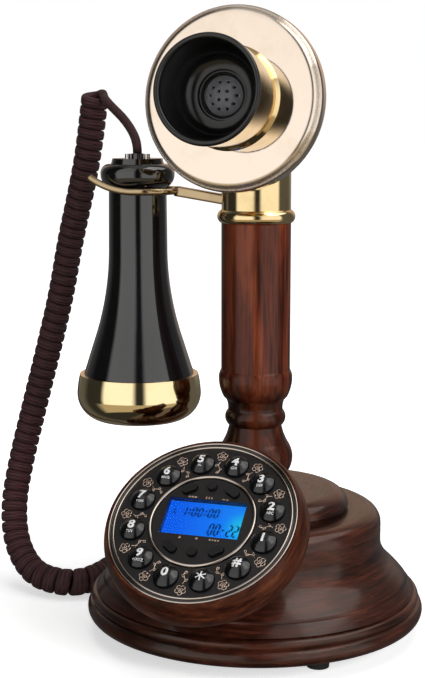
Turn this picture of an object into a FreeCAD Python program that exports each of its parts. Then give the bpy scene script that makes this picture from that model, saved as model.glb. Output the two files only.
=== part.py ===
"""Candlestick telephone with a push-button dial, as a parametric document.

A turned wooden base carries a tilted dial pod and a turned pillar. A brass collar on the pillar holds
the switch hook, and a yoke on the collar holds the tilting transmitter head. The receiver hangs in the
fork of the hook, and a curly cord joins it to the base.

Frame: millimetres, +Z up, origin on the pillar's axis where the feet stand, dial and mouthpiece
towards -Y, receiver towards -X.
"""
import FreeCAD, Part
import math
import os
import re
from collections import namedtuple

import Sketcher

Vector = FreeCAD.Vector
doc = FreeCAD.newDocument("candlestick_telephone")

SIZES = [
    # Rubber feet, the plate that closes the base from below, and its screws
    ("foot_height", 9.0),
    ("foot_tread_radius", 5.7),
    ("foot_top_radius", 6.5),
    ("foot_margin", 10.0),
    ("plate_margin", 9.0),
    ("plate_thickness", 2.5),
    ("boss_height", 6.0),
    ("boss_radius", 3.0),
    ("screw_margin", 11.0),
    ("screw_head_radius", 3.4),
    ("screw_head_height", 2.0),
    ("screw_shank_radius", 1.7),
    ("screw_length", 11.0),
    ("screw_fit", 0.1),
    # Bell-shaped skirt of the base: fascia, bead and bell
    ("skirt_height", 32.5),
    ("skirt_foot_radius", 89.0),
    ("fascia_flare", 0.4),
    ("fascia_height", 7.6),
    ("fascia_round", 4.9),
    ("scored_width", 0.8),
    ("scored_depth", 1.0),
    ("base_bead_inset", 1.4),
    ("base_bead_height", 4.8),
    ("base_bead_round", 2.8),
    ("bell_inset", 1.6),
    ("bell_sweep", 17.4),
    ("bell_round", 72.0),
    ("bell_wall", 11.0),
    ("roof_thickness", 5.5),
    ("rebate_fit", 0.3),
    # Drum on the skirt and the plinth under the pillar
    ("drum_step", 1.0),
    ("drum_height", 25.7),
    ("drum_shoulder", 7.6),
    ("plinth_radius", 50.5),
    ("plinth_lip", 1.9),
    ("plinth_undercut", 2.2),
    ("plinth_sweep", 9.5),
    ("plinth_height", 9.8),
    ("plinth_round", 9.5),
    # Tie tube through base and pillar, with a nut at each end
    ("tube_radius", 4.0),
    ("tube_wall", 1.2),
    ("tube_fit", 0.15),
    ("tube_end", 1.5),
    ("nut_width", 10.5),
    ("nut_height", 3.4),
    # Turned pillar, from its foot to the top of its shaft
    ("pillar_foot_radius", 17.5),
    ("pillar_foot_height", 3.4),
    ("ankle_radius", 16.4),
    ("ankle_level", 7.6),
    ("ankle_round", 9.0),
    ("vase_radius", 20.2),
    ("vase_level", 17.5),
    ("vase_round", 15.0),
    ("vase_shoulder_radius", 17.4),
    ("vase_shoulder_level", 25.5),
    ("wrist_radius", 14.1),
    ("wrist_level", 34.6),
    ("wrist_round", 30.0),
    ("pillar_bead_radius", 14.7),
    ("pillar_bead_level", 35.2),
    ("pillar_bead_height", 7.8),
    ("pillar_bead_round", 5.6),
    ("cove_top_radius", 15.5),
    ("cove_height", 5.5),
    ("cove_round", 12.0),
    ("cup_foot_radius", 17.2),
    ("cup_foot_height", 1.8),
    ("cup_radius", 19.7),
    ("cup_height", 10.2),
    ("cup_round", 22.0),
    ("cup_lip_height", 4.4),
    ("cup_lip_round", 7.0),
    ("shaft_radius", 18.4),
    ("pillar_height", 142.9),
    # Brass collar with the slot for the hook
    ("collar_radius", 18.3),
    ("collar_bore", 16.0),
    ("collar_height", 32.0),
    ("collar_floor", 2.5),
    ("collar_bead_height", 7.1),
    ("collar_bead_round", 3.9),
    ("hook_slot_width", 6.4),
    ("hook_slot_level", 7.8),
    ("hook_slot_height", 9.4),
    # Switch hook: bracket, lever, fork, spring and switch
    ("hook_pivot_reach", 10.5),
    ("hook_pivot_rise", 10.9),
    ("hook_pin_radius", 1.5),
    ("pivot_clearance", 0.05),
    ("hook_side_clearance", 0.4),
    ("bracket_length", 7.0),
    ("bracket_floor", 1.8),
    ("cheek_thickness", 1.7),
    ("cheek_height", 15.6),
    ("hook_arm_thickness", 5.0),
    ("hook_arm_height", 5.2),
    ("fork_reach", 63.0),
    ("fork_rise", 16.0),
    ("fork_half_gap", 18.0),
    ("fork_rod_radius", 1.85),
    ("fork_tip_length", 24.9),
    ("fork_tip_round", 44.6),
    ("switch_height", 6.0),
    ("plunger_radius", 1.0),
    ("plunger_length", 3.4),
    ("spring_radius", 1.4),
    ("spring_wire_radius", 0.3),
    ("spring_pitch", 1.1),
    ("spring_turns", 3.0),
    ("spring_offset", 2.0),
    # Yoke on the collar, and the pin that the head tilts on
    ("yoke_cap_thickness", 4.0),
    ("yoke_pivot_rise", 23.9),
    ("ear_thickness", 4.0),
    ("ear_radius", 8.5),
    ("head_pin_radius", 2.5),
    ("head_pin_head_radius", 4.2),
    ("head_pin_head_height", 1.8),
    ("lug_side_clearance", 0.4),
    # Transmitter head: back shell, dish, sleeve, mouthpiece and capsule
    ("head_tilt", 5.9),
    ("dish_reach", 44.4),
    ("dish_radius", 46.3),
    ("dish_depth", 10.0),
    ("dish_wall", 1.6),
    ("dish_face_thickness", 1.6),
    ("dish_edge_round", 5.2),
    ("dish_edge_width", 4.4),
    ("dish_crown", 1.0),
    ("dish_crown_round", 330.0),
    ("mouth_bore", 17.0),
    ("shell_rear", 18.0),
    ("shell_boss_radius", 11.5),
    ("shell_radius", 38.0),
    ("shell_depth", 15.0),
    ("shell_round", 34.0),
    ("shell_wall", 1.6),
    ("shell_fit", 0.2),
    ("lug_thickness", 8.0),
    ("lug_radius", 7.4),
    ("lug_length", 20.0),
    ("mouth_reach", 36.2),
    ("sleeve_base_radius", 24.6),
    ("sleeve_rim_radius", 26.4),
    ("sleeve_wall", 1.3),
    ("sleeve_flange", 1.6),
    ("sleeve_flange_height", 2.2),
    ("liner_fit", 0.15),
    ("liner_wall", 1.8),
    ("lip_height", 2.0),
    ("lip_overhang", 0.3),
    ("grille_rise", 8.0),
    ("grille_radius", 9.6),
    ("grille_thickness", 2.0),
    ("grille_step_radius", 14.0),
    ("grille_step_height", 2.6),
    ("grille_hole_radius", 0.9),
    ("grille_inner_circle_radius", 2.9),
    ("grille_outer_circle_radius", 6.8),
    ("liner_neck_length", 7.0),
    ("capsule_radius", 11.5),
    ("capsule_height", 7.5),
    # Dial pod on the front of the base
    ("dial_forward", 85.3),
    ("dial_rise", 39.4),
    ("dial_pitch", 50.6),
    ("pod_radius", 51.1),
    ("pod_rim_radius", 48.5),
    ("pod_rim_rise", 0.9),
    ("pod_widest", 12.5),
    ("pod_side_round", 22.0),
    ("pod_back_radius", 47.6),
    ("pod_depth", 18.6),
    ("pod_back_round", 9.0),
    ("neck_radius", 28.0),
    ("neck_depth", 44.0),
    ("neck_fit", 0.15),
    ("pod_cavity_radius", 42.3),
    ("dial_plate_radius", 43.9),
    ("dial_plate_thickness", 3.0),
    ("trim_radius", 47.4),
    ("trim_rise", 1.1),
    ("trim_groove_width", 1.5),
    ("dial_fit", 0.1),
    ("key_room", 6.0),
    ("board_thickness", 1.6),
    ("membrane_thickness", 1.2),
    # Number keys, function keys and the display
    ("key_circle_radius", 34.8),
    ("key_radius", 6.1),
    ("key_side_rise", 1.5),
    ("key_crown", 2.5),
    ("key_clearance", 0.3),
    ("key_gap", 0.2),
    ("key_flange_width", 0.9),
    ("key_flange_thickness", 1.2),
    ("key_stem_radius", 2.0),
    ("key_travel", 1.6),
    ("display_radius", 26.2),
    ("display_ring_width", 2.0),
    ("display_ring_rise", 1.2),
    ("lens_width", 40.0),
    ("lens_height", 21.0),
    ("lens_thickness", 2.6),
    ("lens_centre", 1.8),
    ("lcd_margin", 0.5),
    ("function_key_length", 7.0),
    ("function_key_width", 4.0),
    ("function_key_end_round", 2.2),
    ("function_key_radius", 2.3),
    ("function_key_rise", 1.6),
    # Receiver
    ("receiver_reach", 67.2),
    ("seat_gap", 1.5),
    ("rim_radius", 30.2),
    ("flare_radius", 22.6),
    ("flare_height", 24.0),
    ("handle_radius", 15.9),
    ("handle_height", 46.5),
    ("handle_round", 160.0),
    ("neck_length", 31.1),
    ("receiver_neck_radius", 15.6),
    ("bead_radius", 20.0),
    ("bead_round", 8.0),
    ("bead_top_radius", 16.2),
    ("bead_top_height", 5.5),
    ("bead_top_round", 5.0),
    ("spigot_radius", 29.6),
    ("spigot_length", 8.5),
    ("cap_radius", 14.3),
    ("cap_top_radius", 13.5),
    ("cap_height", 3.0),
    ("bush_radius", 3.5),
    ("bush_height", 2.6),
    ("post_radius", 1.6),
    ("post_height", 2.4),
    ("post_offset", 5.6),
    ("ear_cup_lip_radius", 32.5),
    ("ear_cup_radius", 33.9),
    ("ear_cup_widest", 16.5),
    ("ear_cup_height", 25.0),
    ("ear_cup_side_round", 45.0),
    ("ear_cup_floor_radius", 24.0),
    ("ear_cup_floor_round", 15.0),
    ("ear_cup_floor", 10.0),
    ("ear_cup_bore", 18.0),
    ("ear_fit", 0.2),
    ("ear_plate_radius", 26.0),
    ("ear_plate_thickness", 2.0),
    ("ear_recess", 2.4),
    ("ear_hole_radius", 1.1),
    ("ear_hole_circle_radius", 8.0),
    ("speaker_radius", 24.0),
    # Electrics in the base
    ("board_length", 72.0),
    ("board_width", 42.0),
    ("board_setback", 19.0),
    ("ringer_radius", 16.0),
    ("ringer_height", 11.0),
    ("ringer_offset", 33.0),
    ("jack_width", 15.0),
    ("jack_height", 13.0),
    ("jack_depth", 14.0),
    ("jack_level", 11.5),
    ("jack_inset", 5.0),
    ("jack_fit", 0.1),
    ("socket_width", 10.0),
    ("socket_height", 7.0),
    ("socket_depth", 11.0),
    # Cord and the grommet that takes it into the base
    ("cord_radius", 2.45),
    ("curl_radius", 5.05),
    ("curl_pitch", 5.8),
    ("grommet_level", 19.0),
    ("grommet_proud", 4.0),
    ("grommet_flange_radius", 6.0),
    ("grommet_flange_height", 4.6),
    ("grommet_body_radius", 4.0),
    ("grommet_body_length", 7.0),
    ("grommet_fit", 0.1),
]
FOOT_COUNT = 4
FOOT_START = 45.0
SCREW_START = 22.5
KEY_LABELS = ["1", "2", "3", "4", "5", "6", "7", "8", "9", "0", "star", "hash"]
KEY_START = -15.0
GROMMET_BEARING = 45.0
CORD_SIDES = 6

sheet = doc.addObject("Spreadsheet::Sheet", "Sizes")
for row, (alias, size) in enumerate(SIZES, start=1):
    sheet.set(f"A{row}", alias)
    sheet.set(f"B{row}", str(size))
    sheet.setAlias(f"B{row}", alias)
doc.recompute()
ALIASES = {alias for alias, _ in SIZES}


def bound(expression):
    """The expression with each size read from the sheet."""
    return re.sub(
        r"[A-Za-z_]\w*",
        lambda word: f"Sizes.{word[0]}" if word[0] in ALIASES else word[0],
        expression,
    )


def value(expression):
    """The expression's number, from the sheet."""
    result = sheet.evalExpression(bound(expression))
    return float(getattr(result, "Value", result))


# Levels and places that several pieces share
FASCIA_RADIUS = "(skirt_foot_radius + fascia_flare)"
BASE_BEAD_RADIUS = f"({FASCIA_RADIUS} - base_bead_inset)"
BELL_RADIUS = f"({BASE_BEAD_RADIUS} - bell_inset)"
BELL_TOP_RADIUS = f"({BELL_RADIUS} - bell_sweep)"
CAVITY_RADIUS = f"({BELL_TOP_RADIUS} - bell_wall)"
DRUM_RADIUS = f"({BELL_TOP_RADIUS} - drum_step)"
PLINTH_FOOT_RADIUS = "(plinth_radius - plinth_lip)"
PLINTH_TOP_RADIUS = "(plinth_radius - plinth_sweep)"
PLATE_RADIUS = "(skirt_foot_radius - plate_margin)"
FOOT_CIRCLE = f"({PLATE_RADIUS} - foot_margin)"
SCREW_CIRCLE = f"({PLATE_RADIUS} - screw_margin)"
JACK_FACE = "(skirt_foot_radius - jack_inset)"
GROMMET_FACE = "(skirt_foot_radius + grommet_proud)"
DRUM_LEVEL = "foot_height + skirt_height"
PLINTH_LEVEL = f"{DRUM_LEVEL} + drum_height"
PILLAR_LEVEL = f"{PLINTH_LEVEL} + plinth_height"
COLLAR_LEVEL = f"{PILLAR_LEVEL} + pillar_height"
YOKE_LEVEL = f"{COLLAR_LEVEL} + collar_height"
HEAD_LEVEL = f"{YOKE_LEVEL} + yoke_cap_thickness + yoke_pivot_rise"
HOOK_LEVEL = f"{COLLAR_LEVEL} + hook_pivot_rise"
FORK_LEVEL = f"{COLLAR_LEVEL} + fork_rise"
PLATE_TOP = "foot_height + plate_thickness"
ROOF_LEVEL = f"{DRUM_LEVEL} - roof_thickness"
TUBE_BORE = "tube_radius + tube_fit"
BEAD_CENTRE = "(bead_radius - bead_round)"
BEAD_DROP = f"sqrt(bead_round ^ 2 - (fork_half_gap - {BEAD_CENTRE}) ^ 2)"
BEAD_LEVEL = f"{FORK_LEVEL} + fork_rod_radius + seat_gap + {BEAD_DROP}"
KEY_FLOOR = "dial_plate_thickness + key_room"
Frame = namedtuple("Frame", "x y z tilt")
STAND = Frame("0", "0", "0", "0")
PILLAR = Frame("0", "0", PILLAR_LEVEL, "0")
COLLAR = Frame("0", "0", COLLAR_LEVEL, "0")
HOOK = Frame("-hook_pivot_reach", "0", HOOK_LEVEL, "0")
HEAD = Frame("0", "0", HEAD_LEVEL, "90 - head_tilt")
HEAD_PIVOT = Frame("0", "0", HEAD_LEVEL, "0")
DIAL = Frame("0", "-dial_forward", f"{DRUM_LEVEL} + dial_rise", "90 - dial_pitch")
RECEIVER = Frame("-receiver_reach", "0", BEAD_LEVEL, "0")
PIECES = []


def place(thing, frame, across="0", up="0", out="0", turn=None):
    """Set a thing in a frame: across is X, up and out are Y and Z turned by the frame's tilt."""
    turn = turn or FreeCAD.Rotation(Vector(1, 0, 0), value(frame.tilt))
    thing.Placement = FreeCAD.Placement(Vector(0, 0, 0), turn)
    tilt = frame.tilt
    thing.setExpression("Placement.Base.x", bound(f"({frame.x}) + ({across})"))
    thing.setExpression(
        "Placement.Base.y", bound(f"({frame.y}) + ({up}) * cos({tilt}) - ({out}) * sin({tilt})")
    )
    thing.setExpression(
        "Placement.Base.z", bound(f"({frame.z}) + ({up}) * sin({tilt}) + ({out}) * cos({tilt})")
    )
    if tilt != "0":
        thing.setExpression("Placement.Rotation.Angle", bound(tilt))
    return thing


def piece(thing, label):
    """Name a finished sub-part."""
    thing.Label = label
    PIECES.append(thing)
    return thing


def plane_of(body, role):
    return next(feature for feature in body.Origin.OriginFeatures if feature.Role == role)


def new_sketch(body, role):
    sketch = body.newObject("Sketcher::SketchObject", "outline")
    sketch.AttachmentSupport = [(plane_of(body, role), "")]
    sketch.MapMode = "FlatFace"
    return sketch


def pin_down(sketch, geometry, vertex, across, along):
    """Hold a vertex at a pair of sheet expressions."""
    for kind, axis, expression in (("DistanceX", -2, across), ("DistanceY", -1, along)):
        if expression == "0":
            sketch.addConstraint(Sketcher.Constraint("PointOnObject", geometry, vertex, axis))
            continue
        size = value(expression)
        index = sketch.addConstraint(Sketcher.Constraint(kind, -1, 1, geometry, vertex, size))
        sketch.setExpression(f"Constraints[{index}]", bound(expression))


def arc_between(start, end, radius, bulge):
    """Arc from start to end that bulges out, to the right of the way, or in, to its left."""
    chord = end - start
    middle = (start + end) * 0.5
    height = math.sqrt(max(radius**2 - (chord.Length / 2) ** 2, 0.0))
    left = Vector(-chord.y, chord.x, 0).normalize()
    centre = middle + left * (height if bulge == "out" else -height)
    circle = Part.Circle(centre, Vector(0, 0, 1), radius)
    first, last = (start, end) if bulge == "out" else (end, start)
    angles = [math.atan2(point.y - centre.y, point.x - centre.x) for point in (first, last)]
    return Part.ArcOfCircle(circle, angles[0], angles[1])


def draw_outline(body, role, outline):
    """Closed sketch from corners (across, along) or (across, along, radius, bulge of the next arc)."""
    sketch = new_sketch(body, role)
    corners = [Vector(value(corner[0]), value(corner[1]), 0) for corner in outline]
    ends = []
    for index, corner in enumerate(outline):
        start, end = corners[index], corners[(index + 1) % len(corners)]
        if len(corner) == 2:
            geometry = sketch.addGeometry(Part.LineSegment(start, end))
            ends.append((geometry, 1, 2))
            continue
        geometry = sketch.addGeometry(arc_between(start, end, value(corner[2]), corner[3]))
        ends.append((geometry, 1, 2) if corner[3] == "out" else (geometry, 2, 1))
    for index, (geometry, start, end) in enumerate(ends):
        following = ends[(index + 1) % len(ends)]
        sketch.addConstraint(
            Sketcher.Constraint("Coincident", geometry, end, following[0], following[1])
        )
    for (geometry, start, end), corner in zip(ends, outline):
        pin_down(sketch, geometry, start, corner[0], corner[1])
        if len(corner) > 2:
            radius = value(corner[2])
            index = sketch.addConstraint(Sketcher.Constraint("Radius", geometry, radius))
            sketch.setExpression(f"Constraints[{index}]", bound(corner[2]))
    return sketch


def draw_circle(body, radius, across="0", along="0"):
    sketch = new_sketch(body, "XY_Plane")
    centre = Vector(value(across), value(along), 0)
    circle = sketch.addGeometry(Part.Circle(centre, Vector(0, 0, 1), value(radius)))
    if across == "0" and along == "0":
        sketch.addConstraint(Sketcher.Constraint("Coincident", circle, 3, -1, 1))
    else:
        pin_down(sketch, circle, 3, across, along)
    index = sketch.addConstraint(Sketcher.Constraint("Radius", circle, value(radius)))
    sketch.setExpression(f"Constraints[{index}]", bound(radius))
    return sketch


def turned(name, outline, frame, across="0", up="0", out="0", turn=None):
    """A piece turned about its own Z axis from an outline of (radius, height) corners."""
    body = doc.addObject("PartDesign::Body", name)
    sketch = draw_outline(body, "XZ_Plane", outline)
    revolution = body.newObject("PartDesign::Revolution", "turning")
    revolution.Profile = sketch
    revolution.ReferenceAxis = (sketch, ["V_Axis"])
    revolution.Angle = 360
    return place(body, frame, across, up, out, turn)


def pad(body, sketch, length):
    feature = body.newObject("PartDesign::Pad", "pad")
    feature.Profile = sketch
    feature.setExpression("Length", bound(length))
    return feature


def pocket(body, sketch):
    """Cut a sketch on the XY plane right through the solid above it."""
    doc.recompute()
    before = body.Shape.Volume
    feature = body.newObject("PartDesign::Pocket", "pocket")
    feature.Profile = sketch
    feature.Type = "ThroughAll"
    feature.Reversed = True
    doc.recompute()
    if body.Shape.Volume >= before:
        raise ValueError(f"{body.Name}: the pocket cut nothing")
    return feature


def ring_of_holes(body, radius, circle, count, start=0.0):
    """Round holes through a body, evenly spaced on a circle."""
    angle = math.radians(start)
    across = f"{circle} * {math.cos(angle):.9f}"
    along = f"{circle} * {math.sin(angle):.9f}"
    sketch = draw_circle(body, radius, across, along)
    hole = pocket(body, sketch)
    pattern = body.newObject("PartDesign::PolarPattern", "ring_of_holes")
    pattern.Originals = [hole]
    pattern.Axis = (sketch, ["N_Axis"])
    pattern.Angle = 360
    pattern.Occurrences = count
    body.Tip = pattern


def disc(name, radius, thickness, frame, out="0"):
    """A flat round plate whose underside is at out."""
    body = doc.addObject("PartDesign::Body", name)
    pad(body, draw_circle(body, radius), thickness)
    return place(body, frame, "0", "0", out)


def block(name, width, depth, height, frame, across="0", up="0", out="0"):
    """A box centred on across and up, standing on out."""
    box = doc.addObject("Part::Box", name)
    for side, size in (("Length", width), ("Width", depth), ("Height", height)):
        box.setExpression(side, bound(size))
    return place(box, frame, f"{across} - ({width}) / 2", f"{up} - ({depth}) / 2", out)


def rod(name, radius, height, frame, across="0", up="0", out="0", turn=None):
    """A cylinder that stands on out, or lies the way turn points it."""
    cylinder = doc.addObject("Part::Cylinder", name)
    cylinder.setExpression("Radius", bound(radius))
    cylinder.setExpression("Height", bound(height))
    return place(cylinder, frame, across, up, out, turn)


def fused(name, *things):
    fusion = doc.addObject("Part::MultiFuse", name)
    fusion.Shapes = list(things)
    return fusion


def cut(name, base, *tools):
    doc.recompute()
    difference = doc.addObject("Part::Cut", name)
    difference.Base = base
    difference.Tool = tools[0] if len(tools) == 1 else fused(f"{name}_tools", *tools)
    doc.recompute()
    if difference.Shape.Volume >= base.Shape.Volume:
        raise ValueError(f"{name}: the cut took nothing away")
    return difference


def group(name, things):
    compound = doc.addObject("Part::Compound", name)
    compound.Links = things
    return compound


def polar(circle, angle):
    """Across and up of a point on a circle, as expressions."""
    return f"{circle} * cos({angle})", f"{circle} * sin({angle})"


ALONG_X = FreeCAD.Rotation(Vector(0, 1, 0), 90)
ALONG_Y = FreeCAD.Rotation(Vector(1, 0, 0), -90)
bearing = math.radians(GROMMET_BEARING)
GROMMET_WAY = Vector(-math.cos(bearing), math.sin(bearing), 0)
TOWARDS_GROMMET = FreeCAD.Rotation(Vector(0, 0, 1), GROMMET_WAY)


def grommet_place(radius):
    """Across and up of a point on the grommet's axis, at a distance from the pillar's axis."""
    return f"({radius}) * {GROMMET_WAY.x:.9f}", f"({radius}) * {GROMMET_WAY.y:.9f}"


# Feet, base plate and screws
def make_base_bottom():
    feet = []
    screws = []
    shafts = []
    for index in range(FOOT_COUNT):
        foot = doc.addObject("Part::Cone", "foot")
        foot.setExpression("Radius1", bound("foot_tread_radius"))
        foot.setExpression("Radius2", bound("foot_top_radius"))
        foot.setExpression("Height", bound("foot_height"))
        angle = FOOT_START + 360.0 * index / FOOT_COUNT
        feet.append(place(foot, STAND, *polar(FOOT_CIRCLE, angle)))
        at = polar(SCREW_CIRCLE, SCREW_START + 360.0 * index / FOOT_COUNT)
        outline = [
            ("0", "-screw_head_height"),
            ("screw_head_radius", "-screw_head_height"),
            ("screw_head_radius", "0"),
            ("screw_shank_radius", "0"),
            ("screw_shank_radius", "screw_length"),
            ("0", "screw_length"),
        ]
        screws.append(turned("screw", outline, STAND, *at, out="foot_height"))
        shaft = "screw_shank_radius + screw_fit"
        shafts.append(rod("screw_hole", shaft, "screw_length + screw_fit", STAND, *at, out="foot_height"))
    piece(group("feet", feet), "base_feet")
    piece(group("screws", screws), "base_screws")

    plate = disc("plate", PLATE_RADIUS, "plate_thickness", STAND, "foot_height")
    ring_of_holes(plate, "screw_shank_radius + screw_fit", SCREW_CIRCLE, FOOT_COUNT, SCREW_START)
    bosses = []
    for side in (-1, 1):
        for end in (-1, 1):
            across = f"{side} * (board_length / 2 - 2 * boss_radius)"
            up = f"{end} * (board_width / 2 - 2 * boss_radius) - board_setback"
            bosses.append(rod("boss", "boss_radius", "boss_height", STAND, across, up, PLATE_TOP))
    piece(fused("plate_with_bosses", plate, *bosses), "base_plate")
    return shafts


# Turned wooden base: skirt, drum and plinth, each cut for the neck of the dial pod
def make_base_woodwork(screw_holes):
    def neck_tool():
        radius = "neck_radius + neck_fit"
        return rod("neck_room", radius, "neck_depth + neck_radius", DIAL, out="-neck_depth")

    scored_top = "fascia_height + scored_width + base_bead_height"
    skirt = turned(
        "skirt",
        [
            (f"{PLATE_RADIUS} + rebate_fit", "0"),
            ("skirt_foot_radius", "0", "fascia_round", "out"),
            (FASCIA_RADIUS, "fascia_height"),
            (BASE_BEAD_RADIUS, "fascia_height + scored_width", "base_bead_round", "out"),
            (BELL_RADIUS, scored_top),
            (f"{BELL_RADIUS} - scored_depth", f"{scored_top} + scored_width / 2"),
            (BELL_RADIUS, f"{scored_top} + scored_width", "bell_round", "out"),
            (BELL_TOP_RADIUS, "skirt_height"),
            (TUBE_BORE, "skirt_height"),
            (TUBE_BORE, "skirt_height - roof_thickness"),
            (CAVITY_RADIUS, "skirt_height - roof_thickness"),
            (CAVITY_RADIUS, "plate_thickness"),
            (f"{PLATE_RADIUS} + rebate_fit", "plate_thickness"),
        ],
        STAND,
        out="foot_height",
    )
    jack_room = block(
        "jack_room",
        "jack_width + 2 * jack_fit",
        "jack_depth * 2",
        "jack_height + 2 * jack_fit",
        STAND,
        up=JACK_FACE,
        out="foot_height + jack_level - jack_height / 2 - jack_fit",
    )
    body_room = rod(
        "grommet_room",
        "grommet_body_radius + grommet_fit",
        "grommet_body_length + grommet_flange_height",
        Frame("0", "0", "grommet_level", "0"),
        *grommet_place(f"{GROMMET_FACE} - grommet_flange_height - grommet_body_length"),
        turn=TOWARDS_GROMMET,
    )
    flange_room = rod(
        "grommet_seat",
        "grommet_flange_radius + grommet_fit",
        "grommet_flange_height * 2",
        Frame("0", "0", "grommet_level", "0"),
        *grommet_place(f"{GROMMET_FACE} - grommet_flange_height"),
        turn=TOWARDS_GROMMET,
    )
    tools = [neck_tool(), jack_room, fused("grommet_hole", body_room, flange_room), *screw_holes]
    piece(cut("skirt_cut", skirt, *tools), "base_skirt")

    drum = turned(
        "drum",
        [
            (TUBE_BORE, "0"),
            (DRUM_RADIUS, "0"),
            (DRUM_RADIUS, "drum_height - drum_shoulder", "drum_shoulder", "out"),
            (f"{DRUM_RADIUS} - drum_shoulder", "drum_height"),
            (TUBE_BORE, "drum_height"),
        ],
        Frame("0", "0", DRUM_LEVEL, "0"),
    )
    piece(cut("drum_cut", drum, neck_tool()), "base_drum")

    plinth = turned(
        "plinth",
        [
            (TUBE_BORE, "0"),
            (PLINTH_FOOT_RADIUS, "0"),
            (PLINTH_FOOT_RADIUS, "plinth_undercut / 2"),
            ("plinth_radius", "plinth_undercut", "plinth_round", "out"),
            (PLINTH_TOP_RADIUS, "plinth_height"),
            (TUBE_BORE, "plinth_height"),
        ],
        Frame("0", "0", PLINTH_LEVEL, "0"),
    )
    piece(cut("plinth_cut", plinth, neck_tool()), "base_plinth")


# Turned pillar, and the tube that ties base, pillar and collar together
def make_pillar():
    bead_top = "pillar_bead_level + pillar_bead_height"
    cove_top = f"{bead_top} + cove_height"
    cup_foot = f"{cove_top} + cup_foot_height"
    cup_top = f"{cup_foot} + cup_height"
    pillar = turned(
        "pillar_turning",
        [
            (TUBE_BORE, "0"),
            ("pillar_foot_radius", "0"),
            ("pillar_foot_radius", "pillar_foot_height", "ankle_round", "in"),
            ("ankle_radius", "ankle_level", "vase_round", "out"),
            ("vase_radius", "vase_level", "vase_round", "out"),
            ("vase_shoulder_radius", "vase_shoulder_level", "wrist_round", "in"),
            ("wrist_radius", "wrist_level"),
            ("pillar_bead_radius", "pillar_bead_level", "pillar_bead_round", "out"),
            ("pillar_bead_radius", bead_top, "cove_round", "in"),
            ("cove_top_radius", cove_top),
            ("cup_foot_radius", cup_foot, "cup_round", "out"),
            ("cup_radius", cup_top, "cup_lip_round", "out"),
            ("shaft_radius", f"{cup_top} + cup_lip_height"),
            ("shaft_radius", "pillar_height"),
            (TUBE_BORE, "pillar_height"),
        ],
        PILLAR,
    )
    piece(pillar, "pillar")
    nuts = []
    lower = f"{ROOF_LEVEL} - nut_height"
    upper = f"{COLLAR_LEVEL} + collar_floor"
    for level in (lower, upper):
        hexagon = doc.addObject("Part::Prism", "hexagon")
        hexagon.Polygon = 6
        hexagon.setExpression("Circumradius", bound("nut_width / sqrt(3)"))
        hexagon.setExpression("Height", bound("nut_height"))
        place(hexagon, STAND, out=level)
        thread = rod("nut_bore", TUBE_BORE, "nut_height", STAND, out=level)
        nuts.append(cut("nut", hexagon, thread))
    piece(group("nuts", nuts), "tie_nuts")
    length = f"({upper} + nut_height) - ({lower}) + 2 * tube_end"
    tube = turned(
        "tube",
        [
            ("tube_radius - tube_wall", "0"),
            ("tube_radius", "0"),
            ("tube_radius", length),
            ("tube_radius - tube_wall", length),
        ],
        STAND,
        out=f"{lower} - tube_end",
    )
    piece(tube, "tie_tube")


# Brass collar with the hook's slot, and the yoke with the pin for the head
def make_collar_and_yoke():
    collar = turned(
        "collar_turning",
        [
            (TUBE_BORE, "0"),
            ("collar_radius", "0", "collar_bead_round", "out"),
            ("collar_radius", "collar_bead_height"),
            ("collar_radius", "collar_height"),
            ("collar_bore", "collar_height"),
            ("collar_bore", "collar_floor"),
            (TUBE_BORE, "collar_floor"),
        ],
        COLLAR,
    )
    slot = block(
        "hook_slot",
        "2 * collar_bead_round",
        "hook_slot_width",
        "hook_slot_height",
        COLLAR,
        across="-collar_radius",
        out="hook_slot_level",
    )
    piece(cut("collar_cut", collar, slot), "collar")

    yoke = Frame("0", "0", YOKE_LEVEL, "0")
    ear_span = "lug_thickness + 2 * (lug_side_clearance + ear_thickness)"
    rise = "yoke_cap_thickness + yoke_pivot_rise"
    cap = turned(
        "yoke_cap",
        [
            ("0", "0"),
            ("collar_radius", "0"),
            ("collar_radius", "yoke_cap_thickness / 2", "yoke_cap_thickness", "out"),
            ("collar_radius - yoke_cap_thickness / 2", "yoke_cap_thickness"),
            ("0", "yoke_cap_thickness"),
        ],
        yoke,
    )
    post = block("ear_post", ear_span, "2 * ear_radius", rise, yoke)
    crown = rod(
        "ear_crown", "ear_radius", ear_span, yoke, across=f"-({ear_span}) / 2", out=rise, turn=ALONG_X
    )
    gap = block(
        "lug_gap",
        "lug_thickness + 2 * lug_side_clearance",
        "4 * ear_radius",
        "yoke_pivot_rise + 2 * ear_radius",
        yoke,
        out="yoke_cap_thickness",
    )
    pin_hole = rod(
        "pin_hole",
        "head_pin_radius",
        f"2 * ({ear_span})",
        yoke,
        across=f"-({ear_span})",
        out=rise,
        turn=ALONG_X,
    )
    solid_yoke = fused("solid_yoke", cap, post, crown)
    piece(cut("yoke_cut", solid_yoke, fused("yoke_room", gap, pin_hole)), "head_yoke")

    pin = turned(
        "pin",
        [
            ("0", "-head_pin_head_height"),
            ("head_pin_head_radius", "-head_pin_head_height / 2"),
            ("head_pin_head_radius", "0"),
            ("head_pin_radius", "0"),
            ("head_pin_radius", ear_span),
            ("head_pin_head_radius", ear_span),
            ("head_pin_head_radius", f"{ear_span} + head_pin_head_height / 2"),
            ("0", f"{ear_span} + head_pin_head_height"),
        ],
        yoke,
        across=f"-({ear_span}) / 2",
        out=rise,
        turn=ALONG_X,
    )
    piece(pin, "head_pivot_pin")


def circular_section(centre, way, radius):
    return Part.Wire([Part.Circle(centre, way, radius).toShape()])


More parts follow.
